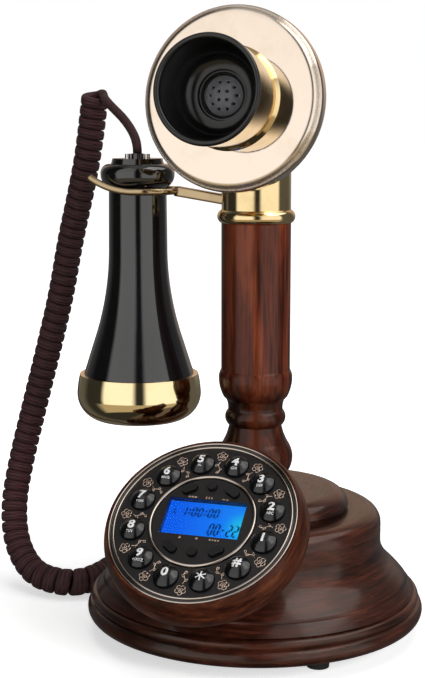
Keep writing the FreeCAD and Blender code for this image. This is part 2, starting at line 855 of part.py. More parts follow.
def many_sided_section(centre, way, radius, sides):
    turn = FreeCAD.Rotation(Vector(0, 0, 1), way)
    corners = []
    for index in range(sides + 1):
        angle = 2 * math.pi * index / sides
        corners.append(centre + turn.multVec(Vector(math.cos(angle), math.sin(angle), 0) * radius))
    return Part.makePolygon(corners)


def swept(edges, section):
    """A solid swept along edges that join smoothly."""
    shell = Part.BRepOffsetAPI.MakePipeShell(Part.Wire(edges))
    shell.add(section)
    shell.build()
    shell.makeSolid()
    return shell.shape()


def solid_feature(name, shape):
    feature = doc.addObject("Part::Feature", name)
    feature.Shape = shape
    return feature


def biarc(start, start_way, end, end_way):
    """Two arcs that leave start along start_way and reach end along end_way."""
    gap = end - start
    ways = start_way + end_way
    bend = 2 * (1 - start_way.dot(end_way))
    reach = gap.dot(ways)
    if bend < 1e-9:
        length = gap.dot(gap) / (2 * reach)
    else:
        length = (math.sqrt(reach**2 + bend * gap.dot(gap)) - reach) / bend
    first, last = start + start_way * length, end - end_way * length
    joint = (first + last) * 0.5
    edges = []
    for corner, a, b in ((first, start, joint), (last, joint, end)):
        way_in, way_out = (corner - a).normalize(), (b - corner).normalize()
        angle = way_in.getAngle(way_out)
        if angle < 1e-6:
            edges.append(Part.LineSegment(a, b).toShape())
            continue
        inward = ((a + b) * 0.5 - corner).normalize()
        edges.append(Part.Arc(a, corner + inward * length * math.tan(angle / 4), b).toShape())
    return edges


# Switch hook: bracket with its pin, lever with the fork, spring and switch
def make_hook():
    inside = "hook_arm_thickness + 2 * hook_side_clearance"
    outside = f"{inside} + 2 * cheek_thickness"
    seat = Frame("-hook_pivot_reach", "0", f"{COLLAR_LEVEL} + collar_floor", "0")
    channel = block("channel", "bracket_length", outside, "cheek_height", seat)
    hollow = block("hollow", "2 * bracket_length", inside, "cheek_height", seat, out="bracket_floor")
    bracket = cut("bracket", channel, hollow)
    pin = rod(
        "hook_pin", "hook_pin_radius", outside, HOOK, up=f"-({outside}) / 2", turn=ALONG_Y
    )
    piece(fused("bracket_with_pin", bracket, pin), "hook_bracket")

    switch = block("switch_body", "bracket_length", outside, "switch_height", seat, out="cheek_height")
    plunger = rod("plunger", "plunger_radius", "plunger_length", seat, out="cheek_height - plunger_length")
    piece(fused("switch", switch, plunger), "hook_switch")

    run, rise = "fork_reach - hook_pivot_reach - fork_half_gap", "fork_rise - hook_pivot_rise"
    length = f"sqrt(({run}) ^ 2 + ({rise}) ^ 2)"
    along = (f"-({run}) / {length}", f"({rise}) / {length}")
    half = "hook_arm_height / 2"
    lever = doc.addObject("PartDesign::Body", "lever")
    outline = [
        (f"{half} * ({along[1]})", f"-{half} * ({along[0]})", f"{half} * 1.02", "in"),
        (f"-{half} * ({along[1]})", f"{half} * ({along[0]})"),
        (f"-({run}) - {half} * ({along[1]})", f"({rise}) + {half} * ({along[0]})"),
        (f"-({run}) + {half} * ({along[1]})", f"({rise}) - {half} * ({along[0]})"),
    ]
    thickness = pad(lever, draw_outline(lever, "XZ_Plane", outline), "hook_arm_thickness")
    thickness.Midplane = True
    place(lever, HOOK)

    reach, level = value("fork_reach"), value(FORK_LEVEL)
    gap, tip = value("fork_half_gap"), value("fork_tip_length")
    tip_round = value("fork_tip_round")
    lift = tip_round - math.sqrt(tip_round**2 - tip**2)
    half_tip = tip / 2
    half_lift = tip_round - math.sqrt(tip_round**2 - half_tip**2)

    def tine(side):
        points = [(reach + tip, lift), (reach + half_tip, half_lift), (reach, 0)]
        return [Vector(-x, side * gap, level + z) for x, z in points]

    bend = gap * math.sqrt(0.5)
    root = Vector(-reach + gap, 0, level)
    quarters = [Vector(-reach + bend, side * bend, level) for side in (-1, 1)]
    front, back = tine(-1), tine(1)
    edges = [
        Part.Arc(*front).toShape(),
        Part.Arc(front[2], quarters[0], root).toShape(),
        Part.Arc(root, quarters[1], back[2]).toShape(),
        Part.Arc(*reversed(back)).toShape(),
    ]
    way = (edges[0].tangentAt(edges[0].FirstParameter)).normalize()
    fork = solid_feature("fork", swept(edges, circular_section(front[0], way, value("fork_rod_radius"))))
    bore = rod(
        "lever_bore",
        "hook_pin_radius + pivot_clearance",
        "2 * hook_arm_thickness",
        HOOK,
        up="-hook_arm_thickness",
        turn=ALONG_Y,
    )
    piece(fused("hook_lever", cut("lever_with_bore", lever, bore), fork), "hook_arm")

    foot = Vector(value("-hook_pivot_reach - spring_offset"), 0, value(f"{seat.z} + bracket_floor"))
    radius, wire = value("spring_radius"), value("spring_wire_radius")
    pitch, turns = value("spring_pitch"), value("spring_turns")

    def on_spring(turn):
        angle = 2 * math.pi * turn
        spot = Vector(math.cos(angle) * radius, math.sin(angle) * radius, wire + pitch * turn)
        way = Vector(-math.sin(angle) * radius, math.cos(angle) * radius, pitch / (2 * math.pi))
        return foot + spot, way.normalize()

    edges = []
    for step in range(int(round(turns * 2))):
        edges += biarc(*on_spring(step / 2), *on_spring((step + 1) / 2))
    start, way = on_spring(0)
    section = many_sided_section(start, way, wire, CORD_SIDES)
    piece(solid_feature("spring", swept(edges, section)), "hook_spring")


# Transmitter head: heights are along the head's axis, from its pivot to the mouth
def make_head():
    face = "dish_reach"
    seat = "dish_reach - dish_face_thickness"
    edge = "dish_radius - dish_edge_width"
    dish = turned(
        "dish_pan",
        [
            ("mouth_bore", seat),
            ("dish_radius - dish_wall", seat),
            ("dish_radius - dish_wall", f"{face} - dish_depth"),
            ("dish_radius", f"{face} - dish_depth"),
            ("dish_radius", f"{face} - dish_edge_width", "dish_edge_round", "out"),
            (edge, face, "dish_crown_round", "out"),
            ("mouth_bore", f"{face} + dish_crown"),
        ],
        HEAD,
    )
    piece(dish, "dish")

    flange = "dish_radius - dish_wall - shell_fit"
    rim = "shell_rear + shell_depth"
    shell = turned(
        "shell_cup",
        [
            ("0", "shell_rear"),
            ("shell_boss_radius", "shell_rear", "shell_round", "out"),
            ("shell_radius", rim),
            (flange, rim),
            (flange, seat),
            ("shell_radius - shell_wall", seat),
            ("shell_radius - shell_wall", f"{rim} + shell_wall", "shell_round", "in"),
            ("shell_boss_radius", "shell_rear + 2 * shell_wall"),
            ("0", "shell_rear + 2 * shell_wall"),
        ],
        HEAD,
    )
    lug = block("lug", "lug_thickness", "2 * lug_radius", "lug_length", HEAD)
    lug_end = rod(
        "lug_end", "lug_radius", "lug_thickness", HEAD_PIVOT, across="-lug_thickness / 2", turn=ALONG_X
    )
    bore = rod(
        "lug_bore",
        "head_pin_radius + pivot_clearance",
        "2 * lug_thickness",
        HEAD_PIVOT,
        across="-lug_thickness",
        turn=ALONG_X,
    )
    solid_shell = fused("shell_with_lug", shell, lug, lug_end)
    piece(cut("shell_cut", solid_shell, bore), "head_back_shell")

    sleeve_foot = f"{face} + dish_crown"
    lip = f"{face} + mouth_reach - lip_height"
    sleeve = turned(
        "sleeve",
        [
            ("sleeve_base_radius - sleeve_wall", sleeve_foot),
            ("sleeve_base_radius + sleeve_flange", sleeve_foot),
            ("sleeve_base_radius", f"{sleeve_foot} + sleeve_flange_height"),
            ("sleeve_rim_radius", lip),
            ("sleeve_rim_radius - sleeve_wall", lip),
            ("sleeve_base_radius - sleeve_wall", f"{sleeve_foot} + sleeve_flange_height"),
        ],
        HEAD,
    )
    piece(sleeve, "mouthpiece_sleeve")

    mouth = f"{face} + mouth_reach"
    grille = f"{face} + grille_rise"
    outer_foot = "sleeve_base_radius - sleeve_wall - liner_fit"
    outer_rim = "sleeve_rim_radius - sleeve_wall - liner_fit"
    neck = "mouth_bore - liner_fit"
    liner = turned(
        "liner",
        [
            ("0", f"{grille} - grille_thickness"),
            ("capsule_radius + liner_fit", f"{grille} - grille_thickness"),
            ("capsule_radius + liner_fit", f"{sleeve_foot} - liner_neck_length"),
            (neck, f"{sleeve_foot} - liner_neck_length"),
            (neck, sleeve_foot),
            (outer_foot, sleeve_foot),
            (outer_foot, f"{sleeve_foot} + sleeve_flange_height"),
            (outer_rim, lip),
            ("sleeve_rim_radius + lip_overhang", lip),
            ("sleeve_rim_radius + lip_overhang", f"{mouth} - lip_height / 2"),
            (outer_rim, mouth),
            (f"{outer_rim} - liner_wall", f"{mouth} - lip_height / 2"),
            (f"{outer_foot} - liner_wall", f"{grille} + 3 * grille_step_height"),
            ("grille_step_radius", f"{grille} + grille_step_height"),
            ("grille_radius", f"{grille} + grille_step_height"),
            ("grille_radius", grille),
            ("0", grille),
        ],
        HEAD,
    )
    ring_of_holes(liner, "grille_hole_radius", "grille_inner_circle_radius", 4, 45.0)
    ring_of_holes(liner, "grille_hole_radius", "grille_outer_circle_radius", 10)
    piece(liner, "mouthpiece")

    capsule_top = f"{grille} - grille_thickness"
    capsule = turned(
        "capsule",
        [
            ("0", f"{capsule_top} - capsule_height"),
            ("capsule_radius", f"{capsule_top} - capsule_height"),
            ("capsule_radius", capsule_top),
            ("0", capsule_top),
        ],
        HEAD,
    )
    piece(capsule, "mic_capsule")


# Dial pod: heights are along the dial's axis, from the face of the dial plate
def make_dial():
    plate_under = "-dial_plate_thickness"
    board_top = f"-({KEY_FLOOR})"
    board_under = f"{board_top} - board_thickness"
    pod = turned(
        "pod",
        [
            ("0", "-neck_depth"),
            ("neck_radius", "-neck_depth"),
            ("neck_radius", "-pod_depth"),
            ("pod_back_radius", "-pod_depth", "pod_back_round", "out"),
            ("pod_radius", "-pod_widest", "pod_side_round", "out"),
            ("pod_rim_radius", "pod_rim_rise"),
            ("trim_radius + dial_fit", "pod_rim_rise"),
            ("trim_radius + dial_fit", plate_under),
            ("pod_cavity_radius", plate_under),
            ("pod_cavity_radius", board_under),
            ("0", board_under),
        ],
        DIAL,
    )
    piece(pod, "dial_housing")

    trim_inner = "dial_plate_radius + dial_fit"
    trim_middle = "(dial_plate_radius + trim_radius) / 2"
    trim = turned(
        "trim",
        [
            (trim_inner, plate_under),
            ("trim_radius", plate_under),
            ("trim_radius", "trim_rise"),
            (f"{trim_middle} + trim_groove_width / 2", "trim_rise"),
            (f"{trim_middle} + trim_groove_width / 2", "0"),
            (f"{trim_middle} - trim_groove_width / 2", "0"),
            (f"{trim_middle} - trim_groove_width / 2", "trim_rise"),
            (trim_inner, "trim_rise"),
        ],
        DIAL,
    )
    piece(trim, "dial_trim_ring")

    ring_outer = "display_radius + display_ring_width / 2"
    ring_inner = "display_radius - display_ring_width / 2"
    plate = disc("dial_face", "dial_plate_radius", "dial_plate_thickness", DIAL, plate_under)
    pocket(plate, draw_circle(plate, f"{ring_outer} + dial_fit"))
    ring_of_holes(plate, "key_radius + key_clearance", "key_circle_radius", len(KEY_LABELS), KEY_START)
    piece(plate, "dial_plate")

    ring = turned(
        "ring",
        [
            (ring_inner, plate_under),
            (ring_outer, plate_under),
            (ring_outer, "display_ring_rise / 2"),
            ("display_radius", "display_ring_rise"),
            (ring_inner, "display_ring_rise / 2"),
        ],
        DIAL,
    )
    piece(ring, "display_ring")

    panel = disc("panel", f"{ring_inner} - dial_fit", "dial_plate_thickness", DIAL, plate_under)
    half_width, half_height = "lens_width / 2 + dial_fit", "lens_height / 2 + dial_fit"
    window = [
        (f"-({half_width})", f"lens_centre - ({half_height})"),
        (half_width, f"lens_centre - ({half_height})"),
        (half_width, f"lens_centre + {half_height}"),
        (f"-({half_width})", f"lens_centre + {half_height}"),
    ]
    pocket(panel, draw_outline(panel, "XY_Plane", window))
    for key in FUNCTION_KEYS:
        pocket(panel, function_key_sketch(panel, key, "key_clearance", True))
    piece(panel, "display_panel")

    lens_size = ("lens_width", "lens_height", "lens_thickness")
    lens = block("lens", *lens_size, DIAL, up="lens_centre", out=plate_under)
    piece(lens, "display_lens")
    lcd_size = ("lens_width + 2 * lcd_margin", "lens_height + 2 * lcd_margin")
    lcd = block("lcd", *lcd_size, "key_room", DIAL, up="lens_centre", out=board_top)
    piece(lcd, "lcd_module")

    membrane = disc("membrane", "pod_cavity_radius - dial_fit", "membrane_thickness", DIAL, board_top)
    across, up = "lens_width / 2 + lcd_margin + dial_fit", "lens_height / 2 + lcd_margin + dial_fit"
    room = [
        (f"-({across})", f"lens_centre - ({up})"),
        (across, f"lens_centre - ({up})"),
        (across, f"lens_centre + {up}"),
        (f"-({across})", f"lens_centre + {up}"),
    ]
    pocket(membrane, draw_outline(membrane, "XY_Plane", room))
    piece(membrane, "keypad_membrane")
    board = disc("keypad", "pod_cavity_radius - dial_fit", "board_thickness", DIAL, board_under)
    piece(board, "keypad_board")


FunctionKey = namedtuple("FunctionKey", "angle circle shape")
FUNCTION_KEYS = [
    FunctionKey(122.0, 21.0, "long"),
    FunctionKey(90.0, 20.4, "round"),
    FunctionKey(58.0, 21.0, "long"),
    FunctionKey(235.0, 20.6, "long"),
    FunctionKey(270.0, 18.6, "round"),
    FunctionKey(305.0, 20.6, "long"),
]


def function_key_sketch(body, key, margin, on_panel):
    """Outline of a function key, grown by a margin, about its own centre or where it lies on the panel."""
    across = key.circle * math.cos(math.radians(key.angle)) if on_panel else 0.0
    up = key.circle * math.sin(math.radians(key.angle)) if on_panel else 0.0
    if key.shape == "round":
        if not on_panel:
            return draw_circle(body, f"function_key_radius + {margin}")
        along_x = "0" if abs(across) < 1e-6 else f"{across:.4f}"
        return draw_circle(body, f"function_key_radius + {margin}", along_x, f"{up:.4f}")
    turn = key.angle - 90.0
    half_length = f"(function_key_length / 2 + {margin})"
    half_width = f"(function_key_width / 2 + {margin})"
    ends_round = f"function_key_end_round + {margin}"
    corners = []
    for side, top in ((1, -1), (1, 1), (-1, 1), (-1, -1)):
        straight = f"{side} * ({half_length} - {half_width} / 2)"
        across_way = f"{across:.4f} + {straight} * cos({turn}) - {top} * {half_width} * sin({turn})"
        up_way = f"{up:.4f} + {straight} * sin({turn}) + {top} * {half_width} * cos({turn})"
        corner = (across_way, up_way)
        corners.append(corner + (ends_round, "out") if side * top == -1 else corner)
    return draw_outline(body, "XY_Plane", corners)


# Number keys and function keys, each a cap with a flange that the dial plate holds down
def make_keys():
    under = "dial_plate_thickness + key_gap"
    stem_end = f"-({KEY_FLOOR} - membrane_thickness - key_travel - key_gap)"
    crown_round = "(key_radius ^ 2 + key_crown ^ 2) / (2 * key_crown)"
    flange_foot = f"-({under} + key_flange_thickness)"
    outline = [
        ("0", stem_end),
        ("key_stem_radius", stem_end),
        ("key_stem_radius", flange_foot),
        ("key_radius + key_flange_width", flange_foot),
        ("key_radius + key_flange_width", f"-({under})"),
        ("key_radius", f"-({under})"),
        ("key_radius", "key_side_rise", crown_round, "out"),
        ("0", "key_side_rise + key_crown"),
    ]
    for index, label in enumerate(KEY_LABELS):
        angle = KEY_START + 360.0 * index / len(KEY_LABELS)
        piece(turned("key", outline, DIAL, *polar("key_circle_radius", angle)), f"key_{label}")
    for number, key in enumerate(FUNCTION_KEYS, start=1):
        body = doc.addObject("PartDesign::Body", "function_key")
        stem = f"-({stem_end}) - ({under}) - key_flange_thickness"
        pad(body, draw_circle(body, "key_stem_radius"), f"{stem} + key_flange_thickness")
        flange = function_key_sketch(body, key, "key_flange_width", False)
        flange.setExpression("AttachmentOffset.Base.z", bound(stem))
        pad(body, flange, "key_flange_thickness")
        cap = function_key_sketch(body, key, "0", False)
        cap.setExpression("AttachmentOffset.Base.z", bound(stem))
        pad(body, cap, f"key_flange_thickness + {under} + function_key_rise")
        across = f"{key.circle * math.cos(math.radians(key.angle)):.4f}"
        up = f"{key.circle * math.sin(math.radians(key.angle)):.4f}"
        piece(place(body, DIAL, across, up, stem_end), f"key_function_{number}")


# Receiver: heights are from the middle of the bead that hangs in the fork
def make_receiver():
    neck_meet = f"-sqrt(bead_round ^ 2 - (receiver_neck_radius - ({BEAD_CENTRE})) ^ 2)"
    handle_top = f"{neck_meet} - neck_length"
    flare_top = f"{handle_top} - handle_height"
    rim = f"{flare_top} - flare_height"
    spigot = f"{rim} - spigot_length"
    shell = turned(
        "shell",
        [
            ("0", spigot),
            ("spigot_radius", spigot),
            ("spigot_radius", rim),
            ("rim_radius", rim),
            ("flare_radius", flare_top, "handle_round", "in"),
            ("handle_radius", handle_top),
            ("receiver_neck_radius", neck_meet, "bead_round", "out"),
            ("bead_radius", "0", "bead_top_round", "out"),
            ("bead_top_radius", "bead_top_height"),
            ("0", "bead_top_height"),
        ],
        RECEIVER,
    )
    piece(shell, "receiver_shell")

    cap_top = "bead_top_height + cap_height"
    cap = turned(
        "cap",
        [
            ("0", "bead_top_height"),
            ("cap_radius", "bead_top_height"),
            ("cap_top_radius", cap_top),
            ("bush_radius", cap_top),
            ("bush_radius", f"{cap_top} + bush_height"),
            ("0", f"{cap_top} + bush_height"),
        ],
        RECEIVER,
    )
    piece(cap, "receiver_cap")
    posts = []
    for side in (-1, 1):
        posts.append(
            rod("post", "post_radius", "post_height", RECEIVER, across=f"{side} * post_offset", out=cap_top)
        )
    piece(group("posts", posts), "receiver_terminals")

    foot = f"{rim} - ear_cup_height"
    floor = f"{foot} + ear_cup_floor"
    bore = "spigot_radius + ear_fit"
    ear_cup = turned(
        "ear_cup",
        [
            ("ear_cup_bore", foot),
            ("ear_cup_floor_radius", foot, "ear_cup_floor_round", "out"),
            ("ear_cup_radius", f"{foot} + ear_cup_widest", "ear_cup_side_round", "out"),
            ("ear_cup_lip_radius", rim),
            (bore, rim),
            (bore, floor),
            ("ear_cup_bore", floor),
        ],
        RECEIVER,
    )
    piece(ear_cup, "receiver_ear_cup")

    ear_plate = doc.addObject("PartDesign::Body", "ear_disc")
    boss = "ear_cup_floor - ear_recess"
    pad(ear_plate, draw_circle(ear_plate, "ear_cup_bore - ear_fit"), f"{boss} + ear_plate_thickness")
    flange = draw_circle(ear_plate, "ear_plate_radius")
    flange.setExpression("AttachmentOffset.Base.z", bound(boss))
    pad(ear_plate, flange, "ear_plate_thickness")
    ring_of_holes(ear_plate, "ear_hole_radius", "ear_hole_circle_radius", 6)
    place(ear_plate, RECEIVER, out=f"{foot} + ear_recess")
    piece(ear_plate, "receiver_ear_plate")

    speaker_foot = f"{floor} + ear_plate_thickness"
    speaker = turned(
        "speaker",
        [
            ("0", speaker_foot),
            ("speaker_radius", speaker_foot),
            ("speaker_radius", spigot),
            ("0", spigot),
        ],
        RECEIVER,
    )
    piece(speaker, "receiver_speaker")


# Electrics in the base, the line jack and the cord's grommet
def make_electrics():
    board_level = f"{PLATE_TOP} + boss_height"
    board_size = ("board_length", "board_width", "board_thickness")
    board = block("board", *board_size, STAND, up="-board_setback", out=board_level)
    piece(board, "main_board")
    ringer = turned(
        "sounder",
        [
            ("0", "0"),
            ("ringer_radius", "0"),
            ("ringer_radius", "ringer_height"),
            ("0", "ringer_height"),
        ],
        STAND,
        up="ringer_offset",
        out=PLATE_TOP,
    )
    piece(ringer, "ringer")
    jack_floor = "foot_height + jack_level - jack_height / 2"
    jack = block(
        "jack",
        "jack_width",
        "jack_depth",
        "jack_height",
        STAND,
        up=f"{JACK_FACE} - jack_depth / 2",
        out=jack_floor,
    )
    socket = block(
        "socket",
        "socket_width",
        "socket_depth * 2",
        "socket_height",
        STAND,
        up=JACK_FACE,
        out="foot_height + jack_level - socket_height / 2",
    )
    piece(cut("jack_cut", jack, socket), "line_jack")
    grommet = turned(
        "grommet",
        [
            ("0", "0"),
            ("grommet_body_radius", "0"),
            ("grommet_body_radius", "grommet_body_length"),
            ("grommet_flange_radius", "grommet_body_length"),
            ("grommet_flange_radius", "grommet_body_length + grommet_flange_height / 2"),
            ("grommet_body_radius", "grommet_body_length + grommet_flange_height"),
            ("0", "grommet_body_length + grommet_flange_height"),
        ],
        Frame("0", "0", "grommet_level", "0"),
        *grommet_place(f"{GROMMET_FACE} - grommet_flange_height - grommet_body_length"),
        turn=TOWARDS_GROMMET,
    )
    piece(grommet, "cord_grommet")


# Route of the cord: the leader from the receiver, and the line that the curls wind round
LEADER_ROUTE = [
    (-70.0, 3.3, 271.2),
    (-77.6, 11.2, 277.0),
    (-88.2, 21.4, 281.8),
    (-96.6, 30.4, 284.2),
]
LEADER_RISE = 7.8
JUNCTION = Vector(-101.4, 36.0, 284.4)
JUNCTION_WAY = (JUNCTION - Vector(*LEADER_ROUTE[-1])).normalize()
CURL_ROUTE = [
    (-108.6, 36.6, 283.5),
    (-112.0, 38.0, 259.0),
    (-119.6, 41.0, 231.0),
    (-128.3, 44.4, 203.0),
    (-135.2, 46.4, 172.0),
    (-144.6, 46.8, 138.0),
    (-152.6, 43.6, 105.0),
    (-159.6, 38.2, 72.0),
    (-160.8, 31.0, 47.0),
    (-155.2, 23.6, 26.5),
    (-141.5, 15.0, 12.8),
    (-124.5, 11.2, 9.0),
    (-110.0, 15.4, 8.6),
    (-100.6, 28.6, 11.0),
    (-93.0, 45.0, 15.6),
    (-82.6, 60.4, 21.0),
    (-71.8, 72.6, 25.4),
]


def rounded_route(points):
    """Straight runs joined by tangent arcs as large as the shorter run beside each corner allows."""
    edges = []
    start = points[0]
    radii = []
    for before, corner, after in zip(points, points[1:], points[2:]):
        way_in, way_out = (corner - before).normalize(), (after - corner).normalize()
        angle = way_in.getAngle(way_out)
        reach = 0.45 * min((corner - before).Length, (after - corner).Length)
        radii.append(reach / math.tan(angle / 2))
        first, last = corner - way_in * reach, corner + way_out * reach
        inward = (way_out - way_in).normalize()
        edges.append(Part.LineSegment(start, first).toShape())
        edges.append(Part.Arc(first, corner + inward * reach * math.tan(angle / 4), last).toShape())
        start = last
    edges.append(Part.LineSegment(start, points[-1]).toShape())
    return edges, radii


def axis_of_curls():
    """Samples along the curls' line: place, side ways and turns wound so far, wider apart round a bend."""
    edges, radii = rounded_route([Vector(*point) for point in CURL_ROUTE])
    print("curls' line radii", [round(radius, 1) for radius in radii])
    line = Part.Wire(edges)
    step = 0.5
    points = line.discretize(Number=int(line.Length / step))
    radius, pitch = value("curl_radius"), value("curl_pitch")
    way = (points[1] - points[0]).normalize()
    side = way.cross(Vector(0, 1, 0)).normalize()
    samples = [(points[0], side, way.cross(side), 0.0)]
    turns = 0.0
    for before, here, after in zip(points, points[1:], points[2:]):
        next_way = (after - before).normalize()
        length = (here - before).Length
        bend = way.getAngle(next_way) / length
        side = (side - next_way * side.dot(next_way)).normalize()
        turns += length * (1 - radius * bend) / pitch
        samples.append((here, side, next_way.cross(side), turns))
        way = next_way
    return samples, line.Length


def wound(samples, radius, turn):
    """Point of the left-handed helix after a number of turns."""
    low, high = 0, len(samples) - 1
    while high - low > 1:
        middle = (low + high) // 2
        low, high = (middle, high) if samples[middle][3] <= turn else (low, middle)
    first, last = samples[low], samples[high]
    share = (turn - first[3]) / (last[3] - first[3])
    centre, side, other = (a + (b - a) * share for a, b in zip(first[:3], last[:3]))
    angle = -2 * math.pi * turn
    return centre + side * radius * math.cos(angle) + other * radius * math.sin(angle)


def make_cord():
    wire, radius = value("cord_radius"), value("curl_radius")
    samples, axis_length = axis_of_curls()
    stub = 2 * wire
    inward = -GROMMET_WAY
    mouth = GROMMET_WAY * value(GROMMET_FACE) + Vector(0, 0, value("grommet_level"))
    last_stub = mouth - inward * stub

    def turn_nearest(spot, around):
        """The turn, near a given one, at which the helix points from its axis towards the spot."""
        steps = [around + index / 48.0 - 0.5 for index in range(48)]
        return min(steps, key=lambda turn: (wound(samples, radius, turn) - spot).Length)

    total = samples[-1][3]
    first_turn = turn_nearest(JUNCTION + JUNCTION_WAY * stub, 0.7) + 0.3
    last_turn = turn_nearest(last_stub, total - 0.7) - 0.3
    count = int(round((last_turn - first_turn) * 2))
    knots = []
    for index in range(count + 1):
        turn = first_turn + (last_turn - first_turn) * index / count
        ahead, behind = wound(samples, radius, turn + 0.01), wound(samples, radius, turn - 0.01)
        knots.append((wound(samples, radius, turn), (ahead - behind).normalize()))
    knots.insert(0, (JUNCTION + JUNCTION_WAY * stub, JUNCTION_WAY))
    knots.append((last_stub, inward))

    edges = [Part.LineSegment(JUNCTION, knots[0][0]).toShape()]
    for start, end in zip(knots, knots[1:]):
        edges += biarc(*start, *end)
    edges.append(Part.LineSegment(last_stub, mouth).toShape())
    coil = solid_feature("coil", swept(edges, many_sided_section(JUNCTION, JUNCTION_WAY, wire, CORD_SIDES)))
    piece(coil, "cord_coil")

    top = f"{BEAD_LEVEL} + bead_top_height + cap_height + bush_height"
    start = Vector(value("-receiver_reach"), 0, value(top))
    route = [start, start + Vector(0, 0, LEADER_RISE)]
    route += [Vector(*point) for point in LEADER_ROUTE] + [JUNCTION]
    leader_edges, radii = rounded_route(route)
    way = (route[1] - route[0]).normalize()
    section = many_sided_section(start, way, wire, CORD_SIDES)
    leader = solid_feature("leader", swept(leader_edges, section))
    piece(leader, "cord_leader")

    arcs = [edge.Curve.Radius for edge in edges if isinstance(edge.Curve, Part.Circle)]
    length = sum(edge.Length for edge in edges)
    leader_length = sum(edge.Length for edge in leader_edges)
    area = CORD_SIDES / 2 * wire**2 * math.sin(2 * math.pi / CORD_SIDES)
    print("leader radii", [round(radius, 1) for radius in radii], "length", round(leader_length, 1))
    print("leader volume to section times length", round(leader.Shape.Volume / (area * leader_length), 4))
    print("curls", round(last_turn - first_turn, 1), "on a line of", round(axis_length, 1))
    print("wire", round(length, 1), "tightest arc", round(min(arcs), 2))
    print("curls volume to section times length", round(coil.Shape.Volume / (area * length), 4))
    print("least gap of the curls to themselves", round(least_gap(edges, wire, radius), 2))


def least_gap(edges, wire, radius):
    """Least clear gap between stretches of the wire that are half a turn or more apart."""
    spots = []
    run = 0.0
    for edge in edges:
        for part in range(4):
            share = edge.FirstParameter + (edge.LastParameter - edge.FirstParameter) * part / 4
            spots.append((edge.valueAt(share), run + edge.Length * part / 4))
        run += edge.Length
    half_turn = math.pi * radius
    least = run
    for index, (spot, place_along) in enumerate(spots):
        for other, other_place in spots[index + 1:index + 80]:
            if other_place - place_along > half_turn:
                least = min(least, (other - spot).Length)
    return least - 2 * wire


def build():
    screw_holes = make_base_bottom()
    make_base_woodwork(screw_holes)
    make_pillar()
    make_collar_and_yoke()
    make_hook()
    make_head()
    make_dial()
    make_keys()
    make_receiver()
    make_electrics()
    make_cord()
    doc.recompute()


def check_and_write():
    for thing in doc.Objects:
        if "Invalid" in thing.State or "Error" in thing.State:
            raise ValueError(f"{thing.Label}: {thing.State}")
    for thing in PIECES:
        if thing.Shape.isNull() or not thing.Shape.isValid():
            raise ValueError(f"{thing.Label}: the shape is null or not valid")
        if not thing.Shape.Solids:
            raise ValueError(f"{thing.Label}: no solid")
    os.makedirs("parts", exist_ok=True)
    for thing in PIECES:
        thing.Shape.exportStep(f"parts/{thing.Label}.step")
    print(len(PIECES), "pieces")


build()
check_and_write()
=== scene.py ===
# %% [markdown]
# Candlestick telephone with a keypad: how its looks are made.
#
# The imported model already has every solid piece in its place, so this lesson adds what a solid
# can't say: the camera, the light, the woven curly cord, the finishes, and the printing and
# engraving on the dial. Everything is in metres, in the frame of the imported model.

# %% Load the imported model
import math
import bmesh
import bpy
from mathutils import Matrix, Vector, kdtree


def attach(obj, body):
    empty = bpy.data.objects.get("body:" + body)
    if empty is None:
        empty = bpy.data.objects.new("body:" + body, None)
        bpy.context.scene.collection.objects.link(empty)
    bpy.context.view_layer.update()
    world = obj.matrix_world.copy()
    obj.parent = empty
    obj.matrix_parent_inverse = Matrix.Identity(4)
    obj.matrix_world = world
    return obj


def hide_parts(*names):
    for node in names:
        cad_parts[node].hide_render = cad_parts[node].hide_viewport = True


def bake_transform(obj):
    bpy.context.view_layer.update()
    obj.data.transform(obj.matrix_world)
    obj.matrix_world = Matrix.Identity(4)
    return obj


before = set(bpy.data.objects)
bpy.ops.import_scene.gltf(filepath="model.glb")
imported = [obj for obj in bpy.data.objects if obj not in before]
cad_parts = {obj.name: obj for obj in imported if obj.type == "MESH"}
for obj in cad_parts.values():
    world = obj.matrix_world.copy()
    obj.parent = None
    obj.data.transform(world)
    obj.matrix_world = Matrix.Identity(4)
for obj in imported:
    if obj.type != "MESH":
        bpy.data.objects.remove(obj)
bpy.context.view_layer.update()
MM = 0.001
scene = bpy.context.scene

# %% [markdown]
# The camera stands a little above the mouthpiece, to the right of the telephone, and looks down
# at it. Its place was worked out from ellipses in the picture: the dish, the ear cup and the foot
# of the base each fix a part of it. The lens is a short telephoto, so the near dial isn't swollen.

# %% Camera
CAMERA_PLACE = (0.22857, -0.72480, 0.27578)
CAMERA_DOWN = math.radians(8.817)
CAMERA_TURN = math.radians(19.24)
CAMERA_LENS = 76.49
SENSOR_HEIGHT = 36.0

camera = bpy.data.objects.new("camera", bpy.data.cameras.new("camera"))
scene.collection.objects.link(camera)
camera.location = CAMERA_PLACE
camera.rotation_euler = (math.pi / 2 - CAMERA_DOWN, 0.0, CAMERA_TURN)
camera.data.sensor_fit = "VERTICAL"
camera.data.sensor_height = SENSOR_HEIGHT
camera.data.lens = CAMERA_LENS
camera.data.dof.use_dof = False
scene.camera = camera
scene.view_settings.view_transform = "Standard"
print("camera", [round(value, 4) for value in camera.location], "lens", camera.data.lens)

# %% [markdown]
# The cord is one length of woven lead. It leaves the bush on top of the receiver, bows over as a
# plain leader, and then hangs down beside the telephone in tight curls that end in the grommet
# behind the base. The line of the curls is drawn first, as a smooth spline through air, and the
# winding is put round that line afterwards.

